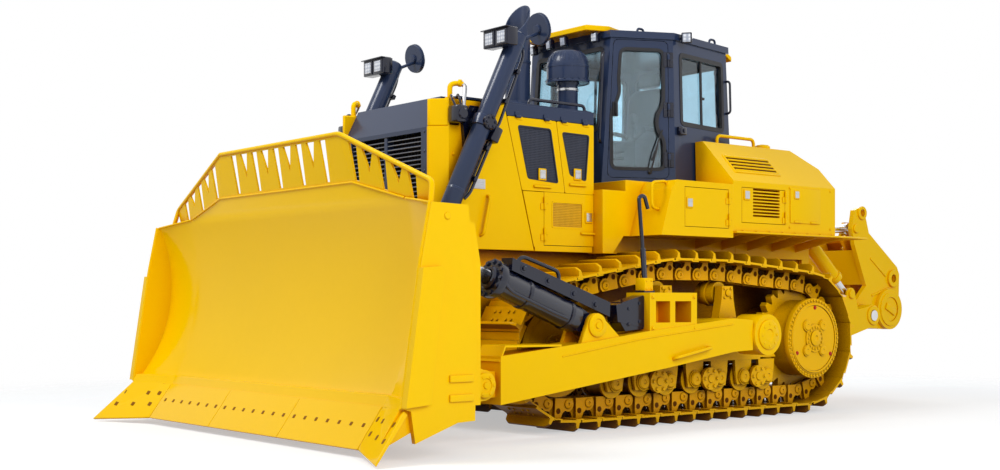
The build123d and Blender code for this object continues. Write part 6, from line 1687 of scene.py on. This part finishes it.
def build_seat():
    """The operator's seat: cloth cushions on a suspension base, with two arm rests."""
    lean, look = (-0.14, 0, 0.99), (0.99, 0, 0.14)      # up the back, and out of it
    base = [
        slab((-0.340, 0, 2.560), (0.215, 0.225, 0.078), axis=UP, along=AHEAD, round_by=0.02),
        slab((-0.340, 0, 2.700), (0.180, 0.190, 0.060), axis=UP, along=AHEAD, round_by=0.03),
        slab((-0.330, 0, 2.790), (0.250, 0.250, 0.030), axis=UP, along=AHEAD, round_by=0.02),
        slab((-0.655, 0, 3.250), (0.020, 0.200, 0.300), axis=lean, along=look, round_by=0.015),
    ]
    base += [
        tube(
            bent_path(
                [(-0.600, 0.285 * s, 3.060), (-0.420, 0.285 * s, 3.085), (-0.260, 0.285 * s, 3.080)], 0.05),
            0.024, 10)
        for s in (-1, 1)
    ]
    piece("seat_base", joined(*base), PLASTIC, "hull", replaces=("operator_seat",))
    pads = (
        ("seat_cushion", facing([(-0.330, 0, 2.890)], UP, AHEAD), (0.265, 0.262, 0.074)),
        (
            "seat_back", facing([(-0.585, 0, 3.270)], look, lean),
            (0.300, 0.250, 0.060)),
        (
            "seat_head", facing([(-0.640, 0, 3.670)], look, lean),
            (0.082, 0.142, 0.046)),
    )
    for name, places, half in pads:
        obj = piece(name, placed(cushion(half), *places), CLOTH, "hull")


def build_controls():
    """Lever knobs, a hooded display and pedals before the seat."""
    knobs = []
    for side in (-1, 1):
        knobs.append(
            placed(cushion((0.040, 0.034, 0.060), 0.7, 12, 20), translation(0.020, 0.415 * side, 3.150)))
        knobs.append(slab((-0.300, 0.415 * side, 3.006), (0.220, 0.075, 0.014), axis=UP, along=AHEAD))
        knobs.append(
            slab(
                (0.330, 0.140 * side, 2.520), (0.050, 0.040, 0.012), axis=(-0.7, 0, 0.7),
                along=(0.7, 0, 0.7))
        )
    knobs.append(slab((0.330, 0, 3.130), (0.150, 0.085, 0.020), axis=(-0.94, 0, 0.34), along=LEFT))
    piece("controls", joined(*knobs), PLASTIC, "hull")


build_cab_windows()
build_hinges()
build_handles()
build_trim()
build_cab_lamps()
build_roof()
build_seat()
build_controls()


# Fenders, tanks and deck

LOCKER_FACE = 1.421       # the locker doors' outer sides


def build_lockers():
    """Latches on the locker doors, and the covers on the rear tanks."""
    for door, x, z in (("fender_door", 0.245, 2.190), ("tank_door", -0.620, 2.310)):
        rim, paddle = latch(x, z, LOCKER_FACE, 0.034)
        per_side(door + "_latch_rim", rim, YELLOW, door + "_left_body")
        per_side(door + "_latch", paddle, STEEL, door + "_left_body")
    cover = [slab((-1.580, LOCKER_FACE + 0.003, 2.235), (0.255, 0.190, 0.007))]
    cover += [slab((x, LOCKER_FACE + 0.013, 2.060), (0.060, 0.012, 0.010)) for x in (-1.72, -1.44)]
    rim, paddle = latch(-1.420, 2.350, LOCKER_FACE + 0.010, 0.030)
    piece("tank_covers", mirrored(joined(*cover, rim)), YELLOW, "hull")
    piece("tank_cover_latches", mirrored(paddle), STEEL, "hull")


def build_vents():
    """Louvred vents on the tanks' slopes."""
    slope_out, slope_up = np.array([0, 0.7233, 0.6905]), np.array([0, -0.6905, 0.7233])
    centre = np.array([-0.920, 1.2331, 2.6458])
    back = slab(centre, (0.350, 0.120, 0.004), axis=slope_out, along=AHEAD)
    frame_bars = [
        slab(
            centre + slope_up * d, (0.365, 0.012, 0.010), axis=slope_out,
            along=AHEAD)
        for d in (-0.125, 0.125)
    ]
    frame_bars += [
        slab(centre + np.array([d, 0, 0]), (0.012, 0.130, 0.010), axis=slope_out, along=AHEAD)
        for d in (-0.355, 0.355)
    ]
    tilt = slope_out * 0.8 - slope_up * 0.6
    slats = [
        slab(
            centre + slope_up * d + 0.010 * slope_out, (0.345, 0.010, 0.003),
            axis=tilt, along=AHEAD, round_by=0.0029)
        for d in np.linspace(-0.105, 0.105, 5)
    ]
    piece("tank_vents", mirrored(joined(*frame_bars, *slats)), YELLOW, "hull")
    # The backs, seen between the slats, are a painted shade.
    piece("tank_vent_backs", mirrored(back), SHADE_BROWN, "hull")


def build_rails():
    """Rails on the tanks and fenders, and studded treads."""
    low_rail = [
        (-0.750, 0.900, 2.885), (-0.750, 0.900, 2.985), (-1.350, 0.900, 2.985), (-1.350, 0.900, 2.885)
    ]
    piece(
        "tank_rails", mirrored(tube(bent_path(low_rail, 0.06), 0.019, 12)), YELLOW, "hull",
        replaces=("handrails",))
    rail = [
        (0.560, 1.300, 2.120), (0.650, 1.300, 2.130), (0.650, 1.300, 2.380), (0.440, 1.300, 2.400),
        (0.440, 1.300, 2.340)
    ]
    piece("fender_rails", mirrored(tube(bent_path(rail, 0.05), 0.016, 10)), YELLOW, "hull")
    plates = [slab((0, 1.200, 2.413), (0.17, 0.16, 0.004), axis=UP, along=AHEAD)]
    treads = [(x, y, 2.416) for x in np.linspace(-0.13, 0.13, 9) for y in np.linspace(1.07, 1.33, 9)]
    plates.append(stud_heads(0.008, treads, UP, AHEAD))
    piece("fender_treads", mirrored(joined(*plates)), BLACK, "hull")


def build_deck():
    """Filler caps, and bolts on the tanks and the deck."""
    filler = dished_cap(0.085, 0.030, 0.070, 0.044, 0.030, 0.024, 0.052)
    caps = [turned(filler, (-1.500, 0.900, 2.889), UP, 36)]
    caps += [
        bolt_heads(0.012, [(x, LOCKER_FACE - 0.0005, z) for x in (-1.32, -2.02) for z in (2.00, 2.42)], LEFT)
    ]
    spots = [(x, 1.440, 1.930) for x in np.linspace(-0.55, -2.25, 9)]
    caps.append(bolt_heads(0.013, spots, UP, AHEAD))
    piece("deck_bolts", mirrored(joined(*caps)), YELLOW, "hull")


build_lockers()
build_vents()
build_rails()
build_deck()


# Ripper

def build_ripper():
    """Pin caps, bore collars and pads on the ripper's frame and beam."""
    cap = dished_cap(0.090, 0.014, 0.080, 0.022, 0.045, 0.040, 0.014)
    small = stepped_cap(0.055, 0.016, 0.047, 0.024)

    def collar(inner, outer, high):
        """The section of a ring round a bore, with its edges broken."""
        return [
            (inner, 0), (outer, 0), (outer, high - 0.006), (outer - 0.006, high), (inner + 0.006, high),
            (inner, high - 0.006), (inner, 0)]

    fixed = [turned(cap, (-2.740, 0.726, 0.800), LEFT, 32)]
    fixed += [turned(small, eye, LEFT, 28) for eye in ((-2.640, 0.682, 1.950), (-2.690, 0.382, 2.050))]
    fixed.append(
        bolt_heads(0.020, [(-2.551, y, z) for y in (0.10, 0.45) for z in (0.85, 1.15, 1.45)], (-1, 0, 0))
    )
    piece("ripper_hull_caps", mirrored(joined(*fixed)), YELLOW, "hull")

    arm = [
        turned(small, (-3.421, 0.680, 1.294), LEFT, 28),
        turned(collar(0.068, 0.118, 0.018), (-3.860, 0.680, 1.035), LEFT, 32)
    ]
    piece("ripper_arm_caps", mirrored(joined(*arm)), YELLOW, "ripper_lift_frame")

    beam = [turned(collar(0.050, 0.110, 0.028), (-4.600, 0.450, 1.500), LEFT, 32)]
    beam.append(turned(collar(0.044, 0.085, 0.020), (-3.952, 0.450, 2.310), LEFT, 32))
    beam.append(
        turned(
            [(0.150, 0), (0.215, 0), (0.210, 0.014), (0.155, 0.014), (0.150, 0)], (-4.480, 0.500, 1.110),
            LEFT, 40)
    )
    beam.append(slab((-4.480, 0.505, 1.110), (0.105, 0.045, 0.014), along=(0.9, 0, 0.43), round_by=0.012))
    beam.append(turned(small, (-3.830, 0.450, 2.110), LEFT, 28))
    ribs = [
        slab((-4.290, 0.453, 1.640), (0.200, 0.012, 0.008), along=(0.82, 0, 0.57)),
        slab((-4.340, 0.453, 1.330), (0.190, 0.012, 0.008), along=(1, 0, -0.25))
    ]
    piece("ripper_collars", mirrored(joined(*beam, *ribs)), YELLOW, "ripper_toolbar")


build_ripper()


def build_blade_pins():
    """Pin caps in the ears behind the blade."""
    small = dished_cap(0.070, 0.016, 0.060, 0.026, 0.026, 0.022, 0.018)
    pins = []
    for eye, outer, inner in ((LIFT_B, 1.116, 0.884), (TILT_B, 1.786, 1.524)):
        pins.append(turned(small, across(eye, outer), LEFT, 32))
        pins.append(turned(small, across(eye, inner), (0, -1, 0), 32))
    piece("blade_pin_caps", mirrored(joined(*pins)), YELLOW, "blade")


build_blade_pins()


# Stage

FLOOR_REACH = 11.0        # the floor fades out into the white world before this
FLOOR_TINT = 0.94, 0.97   # red and green of the floor, held down against the yellow bounce
FLOOR_GLOW = 0.46         # seen by the eye only, on top of the light that falls on the floor
WORLD_LIGHT = 0.45        # on the machine; the eye sees a world of strength 1
LAMPS = (                 # name, place, aim, width in metres, watts
    ("key", (9.0, -1.5, 11.0), (0.5, 0, 1.0), 4.0, 710.0),
    ("fill", (4.0, 14.0, 7.0), (0, 0, 1.6), 8.0, 1040.0),
    ("rim", (-10.0, -6.0, 9.0), (0, 0, 2.0), 6.0, 350.0),
)
CAMERA_LENS, CAMERA_SENSOR = 48.36, 36.0        # millimetres
CAMERA_RISE = 0.0667      # the picture's shift, as a share of its width
CAMERA_PLACE = (10.16, 10.56, 1.205)
CAMERA_TURN = 140.69      # degrees about Z


def seen_by_eye(tree):
    """1 for what is seen straight, in a reflection or through glass, and 0 for light on the machine."""
    path = add(tree, "ShaderNodeLightPath")
    seen = math_node(tree, "MAXIMUM", path.outputs["Is Camera Ray"], path.outputs["Is Transmission Ray"])
    return math_node(tree, "MAXIMUM", seen, path.outputs["Is Glossy Ray"])


def build_floor(scene):
    """A pale floor that glows a little to the eye and fades out into the world."""
    floor_mesh = bpy.data.meshes.new("floor")
    s = FLOOR_REACH
    floor_mesh.from_pydata([(-s, -s, 0), (s, -s, 0), (s, s, 0), (-s, s, 0)], [], [(0, 1, 2, 3)])
    floor = bpy.data.objects.new("floor", floor_mesh)
    scene.collection.objects.link(floor)
    material, tree, shader = new_material(
        "pale floor", Roughness=0.85, Specular_IOR_Level=0.1, Emission_Strength=FLOOR_GLOW)
    place = add(tree, "ShaderNodeTexCoord").outputs["Object"]
    tone = ramp(tree, noise(tree, place, 0.4, 4.0), 0.3, 0.7, 0.60, 0.62)
    red, green = (math_node(tree, "MULTIPLY", tone, share) for share in FLOOR_TINT)
    gray = add(tree, "ShaderNodeCombineColor", {0: red, 1: green, 2: tone}).outputs[0]
    tree.links.new(gray, shader.inputs["Base Color"])
    seen = seen_by_eye(tree)
    glow = add(tree, "ShaderNodeCombineColor", {0: seen, 1: seen, 2: seen}).outputs[0]
    tree.links.new(glow, shader.inputs["Emission Color"])
    reach = add(tree, "ShaderNodeVectorMath", {0: place}, operation="LENGTH").outputs["Value"]
    tree.links.new(
        ramp(tree, reach, 0.55 * FLOOR_REACH, 0.95 * FLOOR_REACH, 1.0, 0.0), shader.inputs["Alpha"])
    floor_mesh.materials.append(material)


def build_world(scene):
    """A world that is white to the eye and softer as light on the machine."""
    world = bpy.data.worlds.new("studio")
    scene.world = world
    world.use_nodes = True
    tree = world.node_tree
    background = tree.nodes["Background"]
    seen = seen_by_eye(tree)
    background.inputs["Color"].default_value = (1.0, 1.0, 1.0, 1.0)
    tree.links.new(ramp(tree, seen, 0.0, 1.0, WORLD_LIGHT, 1.0), background.inputs["Strength"])


def build_lights(scene):
    """Soft square lamps, each turned from its place to its aim."""
    for name, place, aim, size, power in LAMPS:
        light = bpy.data.lights.new(name, "AREA")
        light.energy, light.size = power, size
        lamp = bpy.data.objects.new(name, light)
        direction = np.array(aim) - np.array(place)
        lamp.location = place
        lamp.rotation_euler = (
            math.atan2(math.hypot(direction[0], direction[1]), -direction[2]), 0,
            math.atan2(direction[1], direction[0]) - math.pi / 2)
        lamp.visible_glossy = name != "fill"    # or the big lamp lies as a veil on the door's glass
        scene.collection.objects.link(lamp)


def build_camera(scene):
    """The photograph's camera: level, with its picture shifted up."""
    data = bpy.data.cameras.new("camera")
    data.lens, data.sensor_width, data.sensor_fit = CAMERA_LENS, CAMERA_SENSOR, "HORIZONTAL"
    data.shift_y = CAMERA_RISE
    data.clip_end = 200.0
    camera = bpy.data.objects.new("camera", data)
    camera.location = CAMERA_PLACE
    camera.rotation_euler = (math.pi / 2, 0, math.radians(CAMERA_TURN))
    scene.collection.objects.link(camera)
    scene.camera = camera


def build_stage():
    """The floor, the world, the lamps and the camera, in plain display colours."""
    scene = bpy.context.scene
    scene.view_settings.view_transform = "Standard"
    build_floor(scene)
    build_world(scene)
    build_lights(scene)
    build_camera(scene)


build_stage()
